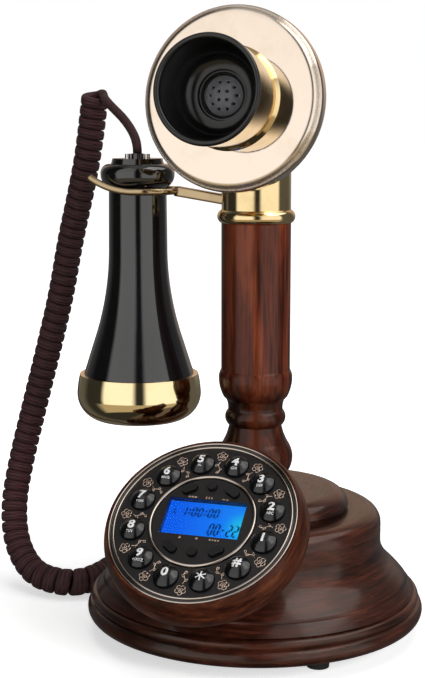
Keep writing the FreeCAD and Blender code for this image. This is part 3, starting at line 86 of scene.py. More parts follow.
# %% The route of the cord, in millimetres
BUSH_TOP = (-67.2, 0.0, 255.64)
LEADER_ROUTE = [
    (-67.2, 0.0, 260.0), (-70.4, 2.6, 266.4), (-78.8, 9.6, 274.0),
    (-90.4, 20.2, 280.4), (-98.6, 29.4, 284.8), (-102.6, 36.6, 287.2),
]
CURL_ROUTE = [
    (-107.6, 36.4, 288.0), (-112.0, 38.0, 259.0), (-119.6, 41.0, 231.0), (-128.3, 44.4, 203.0),
    (-135.2, 46.4, 172.0), (-144.6, 46.8, 138.0), (-152.6, 43.6, 105.0), (-159.6, 38.2, 72.0),
    (-161.2, 29.0, 46.0), (-155.2, 19.6, 24.5), (-139.5, 8.6, 11.2), (-121.5, 4.2, 8.6),
    (-107.6, 8.6, 8.4), (-99.0, 23.4, 10.6), (-93.0, 43.0, 15.6), (-82.6, 60.4, 21.0),
    (-71.8, 72.6, 25.4),
]
CURL_LINE_STEPS = 40
GROMMET_MOUTH = Vector((-65.76, 65.76, 19.0))
GROMMET_WAY = Vector((-1.0, 1.0, 0.0)).normalized()


def mesh_of(data):
    """The mesh of a curve or of letters, which are then thrown away."""
    carrier = bpy.data.objects.new(data.name, data)
    mesh = bpy.data.meshes.new_from_object(carrier)
    bpy.data.objects.remove(carrier)
    bpy.data.curves.remove(data)
    return mesh


def smooth_line(name, points, resolution):
    """Points read from a NURBS spline whose control points are given, all in millimetres."""
    curve = bpy.data.curves.new(name, "CURVE")
    curve.dimensions = "3D"
    curve.resolution_u = resolution
    spline = curve.splines.new("NURBS")
    spline.points.add(len(points) - 1)
    for control, point in zip(spline.points, points):
        control.co = (*point, 1.0)
    spline.order_u = 3
    spline.use_endpoint_u = True
    mesh = mesh_of(curve)
    line = [vertex.co.copy() for vertex in mesh.vertices]
    bpy.data.meshes.remove(mesh)
    return line


curl_axis = smooth_line("curl_axis", CURL_ROUTE, CURL_LINE_STEPS)
print("points on the curls' line:", len(curl_axis))

# %% [markdown]
# The winding goes round its line at a steady pitch. A side direction is carried along the line
# without twisting, and each point of the winding is turned from it. Round a bend the turns crowd
# on the inner side, so they are spaced a little wider there. Towards the front each turn lies almost
# flat, and most of its rise is at the back, as in a cord that has hung for years. The leader folds
# over the top of the curls and runs into the first turn from behind, so that it has no kink.

# %% Wind the curls round their line
CORD_RADIUS = 2.45
CURL_RADIUS = 5.35
CURL_PITCH = 5.8
POINTS_PER_TURN = 14
FLAT_FRONT = 0.75
FRONT_TURN = 0.82
LEADER_STUB = 4.0
END_TURNS = 0.7
FIRST_TURN_GAP, LAST_TURN_GAP = 0.06, 0.08
TURN_PARTS = 48


def carried_sides(line):
    """For each point of a line: the point, two directions across it, and the turns wound so far."""
    way = (line[1] - line[0]).normalized()
    side = way.cross(Vector((0, 1, 0))).normalized()
    turns = 0.0
    rows = [(line[0], side, way.cross(side), turns)]
    for before, here, after in zip(line, line[1:], line[2:]):
        next_way = (after - before).normalized()
        step = (here - before).length
        bend = way.angle(next_way) / step
        side = (side - next_way * side.dot(next_way)).normalized()
        turns += step * (1 - CURL_RADIUS * bend) / CURL_PITCH
        rows.append((here, side, next_way.cross(side), turns))
        way = next_way
    return rows


def wound(rows, turn):
    """A point of the left-handed winding; a spline of order 3 runs a little inside its points."""
    risen = turn - FLAT_FRONT * math.sin(2 * math.pi * (turn - FRONT_TURN)) / (2 * math.pi)
    after = next((index for index, row in enumerate(rows) if row[3] > risen), len(rows) - 1)
    first, last = rows[max(after - 1, 0)], rows[after]
    share = (risen - first[3]) / max(last[3] - first[3], 1e-9)
    centre, side, other = (a.lerp(b, share) for a, b in zip(first[:3], last[:3]))
    radius = CURL_RADIUS / math.cos(math.pi / POINTS_PER_TURN)
    angle = -2 * math.pi * turn
    return centre + (side * math.cos(angle) + other * math.sin(angle)) * radius


def turn_towards(rows, spot, around):
    """The turn, near a given one, whose point lies nearest to a spot."""
    steps = [around + index / TURN_PARTS - 0.5 for index in range(TURN_PARTS)]
    return min(steps, key=lambda turn: (wound(rows, turn) - spot).length)


curl_rows = carried_sides(curl_axis)
leader_end = Vector(LEADER_ROUTE[-1])
leader_way = (leader_end - Vector(LEADER_ROUTE[-2])).normalized()
first_stub = leader_end + leader_way * LEADER_STUB
last_stub = GROMMET_MOUTH + GROMMET_WAY * 2 * CORD_RADIUS
first_turn = turn_towards(curl_rows, first_stub, END_TURNS) + FIRST_TURN_GAP
last_turn = turn_towards(curl_rows, last_stub, curl_rows[-1][3] - END_TURNS) - LAST_TURN_GAP
winding_count = round((last_turn - first_turn) * POINTS_PER_TURN)
winding = [
    wound(curl_rows, first_turn + (last_turn - first_turn) * index / winding_count)
    for index in range(winding_count + 1)
]
print("curls:", round(last_turn - first_turn, 1), "points in the winding:", len(winding))

# %% [markdown]
# The whole cord is one spline: the leader's points, the winding's points, and a short run into the
# grommet. A tube is swept along the points read from it, with a texture map that counts metres along
# the cord, so the weave keeps its size everywhere. The leader is round. In the curls the soft cover
# spreads along their line until each turn touches the next, so no daylight shows between turns.

# %% Sweep the woven tube
LINE_STEPS = 3
CORD_SIDES = 16
SQUARENESS = 0.38
SQUARED_BY = 0.3 * MM
NEIGHBOUR_REACH = 6
EASE_REACH = 8


def new_object(name, mesh, material=None):
    """A new object in the scene, shaded smooth, with one finish."""
    thing = bpy.data.objects.new(name, mesh)
    scene.collection.objects.link(thing)
    for polygon in mesh.polygons:
        polygon.use_smooth = True
    if material is not None:
        mesh.materials.append(material)
    return thing


def spread_widths(line, first, last, step):
    """Half-widths along the curls' line with which each turn meets its neighbours, one turn away."""
    widths = []
    for index, point in enumerate(line):
        gaps = []
        for near in (index - step, index + step):
            if first <= index <= last and first <= near <= last:
                beside = line[near - NEIGHBOUR_REACH:near + NEIGHBOUR_REACH + 1]
                gaps.append(min((other - point).length for other in beside))
        widths.append(max(CORD_RADIUS * MM, sum(gaps) / len(gaps) / 2) if gaps else CORD_RADIUS * MM)
    eased = []
    for index in range(len(widths)):
        beside = widths[max(index - EASE_REACH, 0):index + EASE_REACH + 1]
        eased.append(sum(beside) / len(beside))
    return eased


def tube(name, line, widths, radius, sides, rows):
    """A tube along a line, in metres, with its length and its girth as texture coordinates."""
    finder = kdtree.KDTree(len(rows))
    for index, row in enumerate(rows):
        finder.insert(row[0] * MM, index)
    finder.balance()
    mesh = bpy.data.meshes.new(name)
    shape = bmesh.new()
    chart = shape.loops.layers.uv.new("UVMap")
    way = (line[1] - line[0]).normalized()
    side = way.orthogonal().normalized()
    rings, lengths, travelled = [], [], 0.0
    for index, point in enumerate(line):
        before, after = line[max(index - 1, 0)], line[min(index + 1, len(line) - 1)]
        way = (after - before).normalized()
        if widths[index] > radius:
            row = rows[finder.find(point)[1]]
            side = row[1].cross(row[2])
        side = (side - way * side.dot(way)).normalized()
        other = way.cross(side)
        travelled += (point - before).length
        lengths.append(travelled)
        power = 1.0 - SQUARENESS * min((widths[index] - radius) / SQUARED_BY, 1.0)
        ring = []
        for corner in range(sides):
            angle = 2 * math.pi * corner / sides
            shares = (math.cos(angle), math.sin(angle))
            wide, deep = (math.copysign(abs(share) ** power, share) for share in shares)
            ring.append(shape.verts.new(point + side * widths[index] * wide + other * radius * deep))
        rings.append(ring)
    for index in range(len(line) - 1):
        for corner in range(sides):
            following = (corner + 1) % sides
            face = shape.faces.new((
                rings[index][corner], rings[index][following],
                rings[index + 1][following], rings[index + 1][corner],
            ))
            places = [(corner, index), (corner + 1, index), (corner + 1, index + 1), (corner, index + 1)]
            for loop, (girth, place) in zip(face.loops, places):
                loop[chart].uv = (girth / sides, lengths[place])
    shape.faces.new(list(reversed(rings[0])))
    shape.faces.new(rings[-1])
    shape.to_mesh(mesh)
    shape.free()
    return new_object(name, mesh), travelled


cord_points = [BUSH_TOP, *LEADER_ROUTE, first_stub, *winding, last_stub, GROMMET_MOUTH]
cord_line = [point * MM for point in smooth_line("cord_line", cord_points, LINE_STEPS)]
first_curl, last_curl = LINE_STEPS * (len(LEADER_ROUTE) + 2), len(cord_line) - LINE_STEPS * 3
widths = spread_widths(cord_line, first_curl, last_curl, LINE_STEPS * POINTS_PER_TURN)
cord, cord_length = tube("curly_cord", cord_line, widths, CORD_RADIUS * MM, CORD_SIDES, curl_rows)
print("half-widths in the curls, mm:", round(min(widths) / MM, 2), "to", round(max(widths) / MM, 2))
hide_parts("cord_leader", "cord_coil")
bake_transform(cord)
print("cord length", round(cord_length, 3), "m, points", len(cord_line))

# %% [markdown]
# The telephone stands on a plain white floor. The floor takes the shadow; further out it brightens
# until it meets the white surroundings without a line. The world is white to the camera, and a soft
# grey light to everything that isn't polished or clear. Nodes are made by a few short helpers, which
# the finishes use later too: one makes a node, one gives sockets their values or their links.

# %% Floor and surroundings
AMBIENT = 0.1
FLOOR_REACH = 12.0
FLOOR_TONE = (0.9, 0.9, 0.9)
LIFT_SPAN, LIFT_LEVELS = (0.08, 0.5), (0.6, 1.0)
WHITE = (1.0, 1.0, 1.0)


def feed(sockets, values):
    """Gives each named socket its value, or a link from the socket that feeds it."""
    for name, value in values.items():
        if isinstance(value, bpy.types.NodeSocket):
            value.id_data.links.new(value, sockets[name])
        elif sockets[name].type == "RGBA":
            sockets[name].default_value = (*value, 1.0)
        else:
            sockets[name].default_value = value


def add(tree, kind, inputs=None, **settings):
    """One node: settings are its own options, and inputs are values or the sockets that feed it."""
    node = tree.nodes.new(kind)
    for name, value in settings.items():
        setattr(node, name, value)
    feed(node.inputs, inputs or {})
    return node


def math_node(tree, operation, first, second=0.0):
    return add(tree, "ShaderNodeMath", {0: first, 1: second}, operation=operation).outputs[0]


def vector_node(tree, operation, first, second=(0.0, 0.0, 0.0), output="Value"):
    return add(tree, "ShaderNodeVectorMath", {0: first, 1: second}, operation=operation).outputs[output]


def sum_of(tree, *terms):
    """Values added together, one node at a time."""
    total = terms[0]
    for term in terms[1:]:
        total = math_node(tree, "ADD", total, term)
    return total


def spread(tree, value, low, high, to_low=0.0, to_high=1.0, ends="SMOOTHSTEP"):
    """A value moved from one span to another, with soft ends unless told otherwise."""
    inputs = {"Value": value, "From Min": low, "From Max": high, "To Min": to_low, "To Max": to_high}
    return add(tree, "ShaderNodeMapRange", inputs, interpolation_type=ends).outputs[0]


def bare_tree(owner):
    """The emptied node tree of a material or a world."""
    owner.use_nodes = True
    owner.node_tree.nodes.clear()
    return owner.node_tree


scene.world = bpy.data.worlds.new("studio")
tree = bare_tree(scene.world)
path = add(tree, "ShaderNodeLightPath").outputs
rays = sum_of(tree, path["Is Camera Ray"], path["Is Glossy Ray"], path["Is Transmission Ray"])
strength = spread(tree, math_node(tree, "MINIMUM", rays, 1.0), 0.0, 1.0, AMBIENT, 1.0, "LINEAR")
background = add(tree, "ShaderNodeBackground", {"Color": WHITE, "Strength": strength})
add(tree, "ShaderNodeOutputWorld", {"Surface": background.outputs[0]})

floor_mesh = bpy.data.meshes.new("floor")
corners = [(-1, -1), (1, -1), (1, 1), (-1, 1)]
floor_mesh.from_pydata([(x * FLOOR_REACH, y * FLOOR_REACH, 0) for x, y in corners], [], [(0, 1, 2, 3)])
floor_paint = bpy.data.materials.new("floor_paint")
tree = bare_tree(floor_paint)
far = vector_node(tree, "LENGTH", add(tree, "ShaderNodeTexCoord").outputs["Object"])
eye = add(tree, "ShaderNodeLightPath").outputs["Is Camera Ray"]
glow = math_node(tree, "MULTIPLY", spread(tree, far, *LIFT_SPAN, *LIFT_LEVELS), eye)
matt = add(tree, "ShaderNodeBsdfDiffuse", {"Color": FLOOR_TONE})
shine = add(tree, "ShaderNodeEmission", {"Color": WHITE, "Strength": glow})
both = add(tree, "ShaderNodeAddShader", {0: matt.outputs[0], 1: shine.outputs[0]})
add(tree, "ShaderNodeOutputMaterial", {"Surface": both.outputs[0]})
floor = new_object("floor", floor_mesh, floor_paint)
floor.visible_glossy = False
print("floor", FLOOR_REACH * 2, "m wide, ambient light", AMBIENT)

# %% [markdown]
# A polished telephone is photographed between soft boxes in a dark room. Area lamps stand in for the
# boxes where they light the wood, the cord and the floor. They are hidden from polished surfaces,
# which get their own view of the room in the next step.

# %% Lamps
LAMP_AIM = Vector((0.0, 0.0, 0.15))
LAMPS = {
    "left_box": {"place": (-0.75, -1.1, 0.75), "width": 0.9, "height": 1.0, "watts": 0.8},
    "right_box": {"place": (1.25, -0.75, 0.6), "width": 0.8, "height": 0.9, "watts": 21.0},
    "top_box": {"place": (0.0, 0.1, 1.5), "width": 1.2, "height": 1.2, "watts": 9.0},
}

for name, box in LAMPS.items():
    light = bpy.data.lights.new(name, "AREA")
    light.shape = "RECTANGLE"
    light.size, light.size_y, light.energy = box["width"], box["height"], box["watts"]
    lamp = bpy.data.objects.new(name, light)
    scene.collection.objects.link(lamp)
    lamp.location = box["place"]
    lamp.rotation_euler = (LAMP_AIM - lamp.location).to_track_quat("-Z", "Y").to_euler()
    lamp.visible_glossy = False
print("lamps:", list(LAMPS))

# %% [markdown]
# What a polished surface mirrors makes its look: the boxes show in the black lacquer and the brass as
# broad pale bands, and the dark between them gives the forms their edges. A tent round the telephone,
# which only mirrors and glass see, carries two bright boxes left and right of the camera, one high on
# the right, the dimmer table below them, a dim ceiling, a warm wall behind the telephone, and the dark
# of the room. Each window is given by two bearings and two heights, in degrees seen from the telephone.

# %% The tent that polished surfaces see
TENT_RADIUS = 2.2
TENT_CENTRE = (0.0, 0.0, 0.16)
ROOM_DARK = 0.03
BOX_BRIGHT = 1.2
BOX_TINT = (1.0, 0.985, 0.96)
BOXES = {
    "left": {"window": (-50.0, 10.5, -18.5, 70.0), "top_share": 0.75},
    "right": {"window": (31.0, 97.0, -18.5, 70.0), "top_share": 0.75},
    "high": {"window": (58.0, 145.0, 36.0, 74.0), "top_share": 1.9},
}
FADE_FROM = 12.0
BOX_EDGE, SILL_EDGE = 6.0, 1.5
TABLE, TABLE_BRIGHT, TABLE_TINT = (-60.0, 105.0, -46.0, -18.5), 0.45, (1.0, 0.84, 0.58)
WALL, WALL_BRIGHT, WALL_TINT = (-20.0, 55.0, 1.0, 38.0), 0.5, (1.0, 0.70, 0.52)
CEILING, CEILING_BRIGHT = (56.0, 76.0), 0.4
REAR, REAR_BRIGHT = (-0.1, 0.5), 0.08


def blend_colour(tree, factor, first, second):
    """Two colours mixed by a factor."""
    return add(tree, "ShaderNodeMix", {0: factor, 6: first, 7: second}, data_type="RGBA").outputs[2]


def between(tree, angle, low, high, edge):
    """1 where an angle in degrees lies between two others, with soft edges."""
    rise = spread(tree, angle, low - edge, low + edge)
    fall = spread(tree, angle, high - edge, high + edge, 1.0, 0.0)
    return math_node(tree, "MULTIPLY", rise, fall)


def window(tree, bearing, height, angles, edge, sill):
    """1 inside a window of the tent; edge and sill say how soft its sides and its ends are."""
    west, east, low, high = angles
    across, up = between(tree, bearing, west, east, edge), between(tree, height, low, high, sill)
    return math_node(tree, "MULTIPLY", across, up)


def degrees(tree, operation, first, second=0.0):
    """An angle worked out by an operation, in degrees."""
    return math_node(tree, "MULTIPLY", math_node(tree, operation, first, second), 180 / math.pi)


tent_mesh = bpy.data.meshes.new("tent")
shape = bmesh.new()
bmesh.ops.create_uvsphere(shape, u_segments=48, v_segments=24, radius=TENT_RADIUS)
shape.to_mesh(tent_mesh)
shape.free()
tent_cloth = bpy.data.materials.new("tent_cloth")
tree = bare_tree(tent_cloth)
parts = add(tree, "ShaderNodeSeparateXYZ", {0: add(tree, "ShaderNodeTexCoord").outputs["Object"]}).outputs
bearing = degrees(tree, "ARCTAN2", parts["X"], math_node(tree, "MULTIPLY", parts["Y"], -1.0))
behind = degrees(tree, "ARCTAN2", math_node(tree, "MULTIPLY", parts["X"], -1.0), parts["Y"])
height = degrees(tree, "ARCSINE", math_node(tree, "DIVIDE", parts["Z"], TENT_RADIUS))
wall = window(tree, behind, height, WALL, 2 * BOX_EDGE, 2 * BOX_EDGE)
table = window(tree, bearing, height, TABLE, 2 * BOX_EDGE, SILL_EDGE)
lights = [
    math_node(tree, "MULTIPLY", wall, WALL_BRIGHT / BOX_BRIGHT),
    math_node(tree, "MULTIPLY", table, TABLE_BRIGHT / BOX_BRIGHT),
    spread(tree, height, *CEILING, 0.0, CEILING_BRIGHT / BOX_BRIGHT),
    spread(tree, parts["Y"], *REAR, 0.0, REAR_BRIGHT / BOX_BRIGHT, "LINEAR"),
]
for box in BOXES.values():
    shown = window(tree, bearing, height, box["window"], BOX_EDGE, SILL_EDGE)
    fading = spread(tree, height, FADE_FROM, box["window"][3], 1.0, box["top_share"], "LINEAR")
    lights.append(math_node(tree, "MULTIPLY", shown, fading))
inputs = {"Value": sum_of(tree, *lights), "To Min": ROOM_DARK, "To Max": BOX_BRIGHT}
level = add(tree, "ShaderNodeMapRange", inputs, clamp=False).outputs[0]
tint = blend_colour(tree, table, blend_colour(tree, wall, BOX_TINT, WALL_TINT), TABLE_TINT)
glow = add(tree, "ShaderNodeEmission", {"Color": tint, "Strength": level})
add(tree, "ShaderNodeOutputMaterial", {"Surface": glow.outputs[0]})
tent = new_object("tent", tent_mesh, tent_cloth)
tent.location = TENT_CENTRE
for ray in ("camera", "diffuse", "volume_scatter", "shadow"):
    setattr(tent, "visible_" + ray, False)
print("tent radius", TENT_RADIUS, "boxes", list(BOXES))

# %% [markdown]
# The wood is a dark red-brown hardwood under lacquer. Its figure is long, soft streaks with short
# dark pores, and could be an image; made of noise it has no seams and no edge of a picture. One node
# group makes the figure, and each wood gives it its own direction and colours.

# %% Helpers for finishes, and the wood figure


def new_group(name, **kinds):
    """A shader group that takes a place and more named inputs, with what comes in and goes out."""
    group = bpy.data.node_groups.new(name, "ShaderNodeTree")
    for label, kind in {"Vector": "Vector", **kinds}.items():
        group.interface.new_socket(label, in_out="INPUT", socket_type="NodeSocket" + kind)
    for label, kind in {"Color": "Color", "Roughness": "Float", "Height": "Float"}.items():
        group.interface.new_socket(label, in_out="OUTPUT", socket_type="NodeSocket" + kind)
    return group, group.nodes.new("NodeGroupInput").outputs, group.nodes.new("NodeGroupOutput").inputs


def stretched(tree, vector, scale):
    return vector_node(tree, "MULTIPLY", vector, scale, "Vector")


def noise(tree, vector, scale, detail=3.0, roughness=0.55, distortion=0.0):
    inputs = {"Scale": scale, "Detail": detail, "Roughness": roughness, "Distortion": distortion}
    return add(tree, "ShaderNodeTexNoise", {"Vector": vector, **inputs}).outputs[0]


def weighed(tree, *terms):
    """A sum of values, each with its own weight."""
    return sum_of(tree, *[math_node(tree, "MULTIPLY", value, weight) for value, weight in terms])


wood_figure, given, result = new_group("wood_figure", Dark="Color", Middle="Color", Light="Color")
tree = wood_figure
broad = noise(tree, given["Vector"], 1.0, 3.0, 0.6, 0.6)
fibre = noise(tree, stretched(tree, given["Vector"], (5.0, 5.0, 1.6)), 1.0, 4.0, 0.65)
pores = spread(tree, noise(tree, stretched(tree, given["Vector"], (16.0, 16.0, 3.0)), 1.0, 2.0), 0.6, 0.74)
figure = weighed(tree, (broad, 0.6), (fibre, 0.4))
low = blend_colour(tree, spread(tree, figure, 0.40, 0.50), given["Dark"], given["Middle"])
full = blend_colour(tree, spread(tree, figure, 0.49, 0.61), low, given["Light"])
feed(result, {
    "Color": blend_colour(tree, math_node(tree, "MULTIPLY", pores, 0.55), full, given["Dark"]),
    "Roughness": spread(tree, fibre, 0.3, 0.7, 0.34, 0.46),
    "Height": weighed(tree, (fibre, 0.3), (pores, -1.0)),
})
print("wood figure nodes:", len(tree.nodes))

# %% [markdown]
# A turned piece shows its grain in two ways. The pillar is turned with the grain along it, so its
# streaks stand upright. The base and the pod of the dial are turned across the grain, so their
# streaks run round the axis. Bearings worked out in nodes lay the grain round without unwrapping the
# solids. The lacquer is a clear coat on the shader itself, and its warm sheen is the shader's own. The
# turned foot of the pillar has a deeper stain.

# %% Wooden finishes
DIAL_CENTRE = Vector((0.0, -0.0853, 0.0809))
DIAL_SLOPE = math.radians(39.4)
STRAIGHT_GRAIN, TURNED_GRAIN = (70.0, 70.0, 9.0), (105.0, 1.6, 1.1)
WOOD_RELIEF, WOOD_BUMP = 0.0001, 0.35
DARK_FOOT, STAIN_DEPTH = (0.127, 0.136), 0.42
LACQUER_TINT, LACQUER_ROUGHNESS = (1.0, 0.62, 0.48), 0.13


def new_material(name):
    """An empty material with a Principled shader: the tree, the shader's inputs, and the spot."""
    material = bpy.data.materials.new(name)
    tree = bare_tree(material)
    shader = add(tree, "ShaderNodeBsdfPrincipled")
    add(tree, "ShaderNodeOutputMaterial", {"Surface": shader.outputs[0]})
    return material, tree, shader.inputs, add(tree, "ShaderNodeTexCoord").outputs


def dressed(tree, shader, group, values, relief, strength):
    """Places a group with its values, and feeds the shader's colour, roughness and normal from it."""
    skin = add(tree, "ShaderNodeGroup", values, node_tree=group).outputs
    inputs = {"Height": skin["Height"], "Distance": relief, "Strength": strength}
    normal = add(tree, "ShaderNodeBump", inputs).outputs[0]
    feed(shader, {"Base Color": skin["Color"], "Roughness": skin["Roughness"], "Normal": normal})
    return skin["Color"]


def in_frame(tree, spot, centre, slope):
    """A spot of the model in a frame that has its own centre and is sloped about X."""
    inputs = {"Vector": spot, "Location": centre, "Rotation": (slope, 0, 0)}
    return add(tree, "ShaderNodeMapping", inputs, vector_type="TEXTURE").outputs[0]


def turned_grain(tree, spot, centre, slope):
    """Places in wood whose streaks run round an axis: across them, to the side, and round."""
    parts = add(tree, "ShaderNodeSeparateXYZ", {0: in_frame(tree, spot, centre, slope)}).outputs
    beside = add(tree, "ShaderNodeCombineXYZ", {"X": parts["X"], "Y": parts["Y"]}).outputs[0]
    radius = vector_node(tree, "LENGTH", beside)
    backward = math_node(tree, "MULTIPLY", parts["Y"], -1.0)
    laid = add(tree, "ShaderNodeCombineXYZ", {
        "X": math_node(tree, "SUBTRACT", parts["Z"], radius),
        "Y": math_node(tree, "DIVIDE", parts["X"], radius),
        "Z": math_node(tree, "ABSOLUTE", math_node(tree, "ARCTAN2", parts["X"], backward)),
    })
    return stretched(tree, laid.outputs[0], TURNED_GRAIN)


def wood(name, dark, middle, light, shine, coat, axis=None, dark_foot=None):
    """Lacquered wood: axis is the centre and the slope that its grain goes round, if it does.

    dark_foot gives the two heights between which a deeper stain begins."""
    material, tree, shader, spot = new_material(name)
    spot = spot["Object"]
    grain = turned_grain(tree, spot, *axis) if axis else stretched(tree, spot, STRAIGHT_GRAIN)
    values = {"Vector": grain, "Dark": dark, "Middle": middle, "Light": light}
    colour = dressed(tree, shader, wood_figure, values, WOOD_RELIEF, WOOD_BUMP)
    if dark_foot:
        height = add(tree, "ShaderNodeSeparateXYZ", {0: spot}).outputs["Z"]
        stain = spread(tree, height, *dark_foot, STAIN_DEPTH, 1.0)
        deep = add(tree, "ShaderNodeHueSaturation", {"Color": colour, "Value": stain})
        feed(shader, {"Base Color": deep.outputs[0]})
    feed(shader, {"Specular IOR Level": shine, "Specular Tint": LACQUER_TINT})
    feed(shader, {"Coat Weight": coat, "Coat Roughness": LACQUER_ROUGHNESS})
    return material


pillar_wood = wood("pillar_wood", (0.018, 0.003, 0.0011), (0.078, 0.0135, 0.0049),
                   (0.185, 0.040, 0.0140), 0.18, 0.4, dark_foot=DARK_FOOT)
base_wood = wood("base_wood", (0.008, 0.0018, 0.0010), (0.026, 0.0060, 0.0032),
                 (0.058, 0.0145, 0.0076), 0.3, 0.5, axis=((0.0, 0.0, 0.0), 0.0))
pod_wood = wood("pod_wood", (0.018, 0.0038, 0.0014), (0.047, 0.0100, 0.0036),
                (0.100, 0.0250, 0.0080), 0.2, 0.25, axis=(DIAL_CENTRE, DIAL_SLOPE))
print("woods:", pillar_wood.name, base_wood.name, pod_wood.name)

# %% [markdown]
# Brass that is handled and polished is never even: it has faint clouds of tarnish, and hair-fine
# scratches that blur what it mirrors. Masks could be painted for them, but noise in the model's own
# space needs no unwrapping. One group gives both, and each metal takes its own colours. The sharp edges
# of the dish and the hook's arm are shaded as if rounded. The arm's edges are also darkened with painted
# shade, which stands in for the dark room that their rounding would mirror.

# %% Worn metal
METAL_RELIEF, METAL_BUMP = 0.00002, 0.12
BEVEL_SAMPLES = 8
# Painted shade: the dark colour laid along the arm's edges, where a rounded edge would mirror the dark
# room.
PAINTED_EDGE_TONE = (0.035, 0.02, 0.012)


def part_way(tree, share, first, last):
    """A value that lies a share of the way from one to another."""
    step = math_node(tree, "SUBTRACT", last, first)
    return sum_of(tree, math_node(tree, "MULTIPLY", share, step), first)


worn_metal, given, result = new_group(
    "worn_metal", Clean="Color", Tarnished="Color", Smooth="Float", Dull="Float",
)
tree = worn_metal
cloud = spread(tree, noise(tree, given["Vector"], 55.0, 4.0, 0.6, 0.3), 0.45, 0.8)
hair = noise(tree, stretched(tree, given["Vector"], (1.0, 1.0, 14.0)), 240.0, 2.0)
tarnish = math_node(tree, "MULTIPLY", cloud, 0.6)
feed(result, {
    "Color": blend_colour(tree, tarnish, given["Clean"], given["Tarnished"]),
    "Roughness": part_way(tree, weighed(tree, (cloud, 0.6), (hair, 0.3)), given["Smooth"], given["Dull"]),
    "Height": hair,
})


def metal(name, clean, tarnished, smooth, dull, round_edges=0.0, painted_edge_shade=0.0):
    """Polished or aged metal; sharp edges may be shaded as if rounded, and may be darkened with painted
    shade.
    """
    material, tree, shader, spot = new_material(name)
    values = {"Clean": clean, "Tarnished": tarnished, "Smooth": smooth, "Dull": dull}
    values["Vector"] = spot["Object"]
    colour = dressed(tree, shader, worn_metal, values, METAL_RELIEF, METAL_BUMP)
    if round_edges:
        edge = add(tree, "ShaderNodeBevel", {"Radius": round_edges}, samples=BEVEL_SAMPLES).outputs[0]
        feed(shader["Normal"].links[0].from_node.inputs, {"Normal": edge})
    # Painted shade along the edges, where the bevelled normal turns away from the flat face.
    if painted_edge_shade:
        flat = add(tree, "ShaderNodeNewGeometry").outputs["Normal"]
        level = vector_node(tree, "DOT_PRODUCT", edge, flat)
        painted_shade = math_node(tree, "MULTIPLY", spread(tree, level, 0.8, 0.995, 1.0, 0.0), painted_edge_shade)
        feed(shader, {"Base Color": blend_colour(tree, painted_shade, colour, PAINTED_EDGE_TONE)})
    feed(shader, {"Metallic": 1.0})
    return material


brass = metal("polished_brass", (0.84, 0.66, 0.36), (0.60, 0.42, 0.20), 0.06, 0.2)
pale_brass = metal("dish_brass", (0.84, 0.72, 0.61), (0.74, 0.60, 0.45), 0.04, 0.12, 0.003)
old_brass = metal("aged_brass", (0.50, 0.38, 0.22), (0.25, 0.17, 0.09), 0.14, 0.34)
ear_brass = metal("ear_brass", (0.94, 0.78, 0.46), (0.80, 0.58, 0.27), 0.04, 0.12)
# The hook's arm: its edges are shaded as if rounded and carry painted shade.
arm_brass = metal("arm_brass", (0.46, 0.35, 0.21), (0.28, 0.19, 0.10), 0.06, 0.18, 0.0022, 0.9)
trim_metal = metal("trim_metal", (0.56, 0.49, 0.44), (0.36, 0.28, 0.23), 0.08, 0.22)
steel = metal("plated_steel", (0.62, 0.61, 0.60), (0.42, 0.40, 0.38), 0.16, 0.34)
metals = (brass, pale_brass, old_brass, ear_brass, arm_brass, trim_metal, steel)
print("metals:", [finish.name for finish in metals])

# %% [markdown]
# The black parts differ only in how they shine. The receiver is lacquered like a piano, the keys
# are glossy mouldings, the dial is a satin plate, and the feet are rubber. They share one group
# that breaks the shine with fine dust and handling marks, and so do the grille, the boards and the
# card of the speaker, in other colours.

# %% Black finishes
FINE, MEDIUM, BOARD, CARD, COARSE = 0.000004, 0.00001, 0.00002, 0.00003, 0.00004
MOULD_BUMP = 0.5
COAT_ROUGHNESS = 0.05

handled, given, result = new_group(
    "handled_surface", Tone="Color", Dust="Color", Smooth="Float", Rough="Float", Grain="Float",
)
tree = handled
smear = spread(tree, noise(tree, given["Vector"], 38.0, 4.0, 0.6, 0.4), 0.42, 0.8)
speck = noise(tree, given["Vector"], given["Grain"], 2.0, 0.5)
dusty = math_node(tree, "MULTIPLY", spread(tree, speck, 0.62, 0.8), 0.5)
feed(result, {
    "Color": blend_colour(tree, dusty, given["Tone"], given["Dust"]),
    "Roughness": part_way(tree, weighed(tree, (smear, 0.7), (speck, 0.3)), given["Smooth"], given["Rough"]),
    "Height": speck,
})


def moulded(name, tone, dust, smooth, rough, grain, relief, coat=0.0):
    """A moulded, lacquered or rubber skin; its grain is a noise scale and its relief is in metres."""
    material, tree, shader, spot = new_material(name)
    values = {"Tone": tone, "Dust": dust, "Smooth": smooth, "Rough": rough, "Grain": grain}
    dressed(tree, shader, handled, {"Vector": spot["Object"], **values}, relief, MOULD_BUMP)
    feed(shader, {"Coat Weight": coat, "Coat Roughness": COAT_ROUGHNESS})
    return material


def grey(tone):
    return (tone, tone, tone)


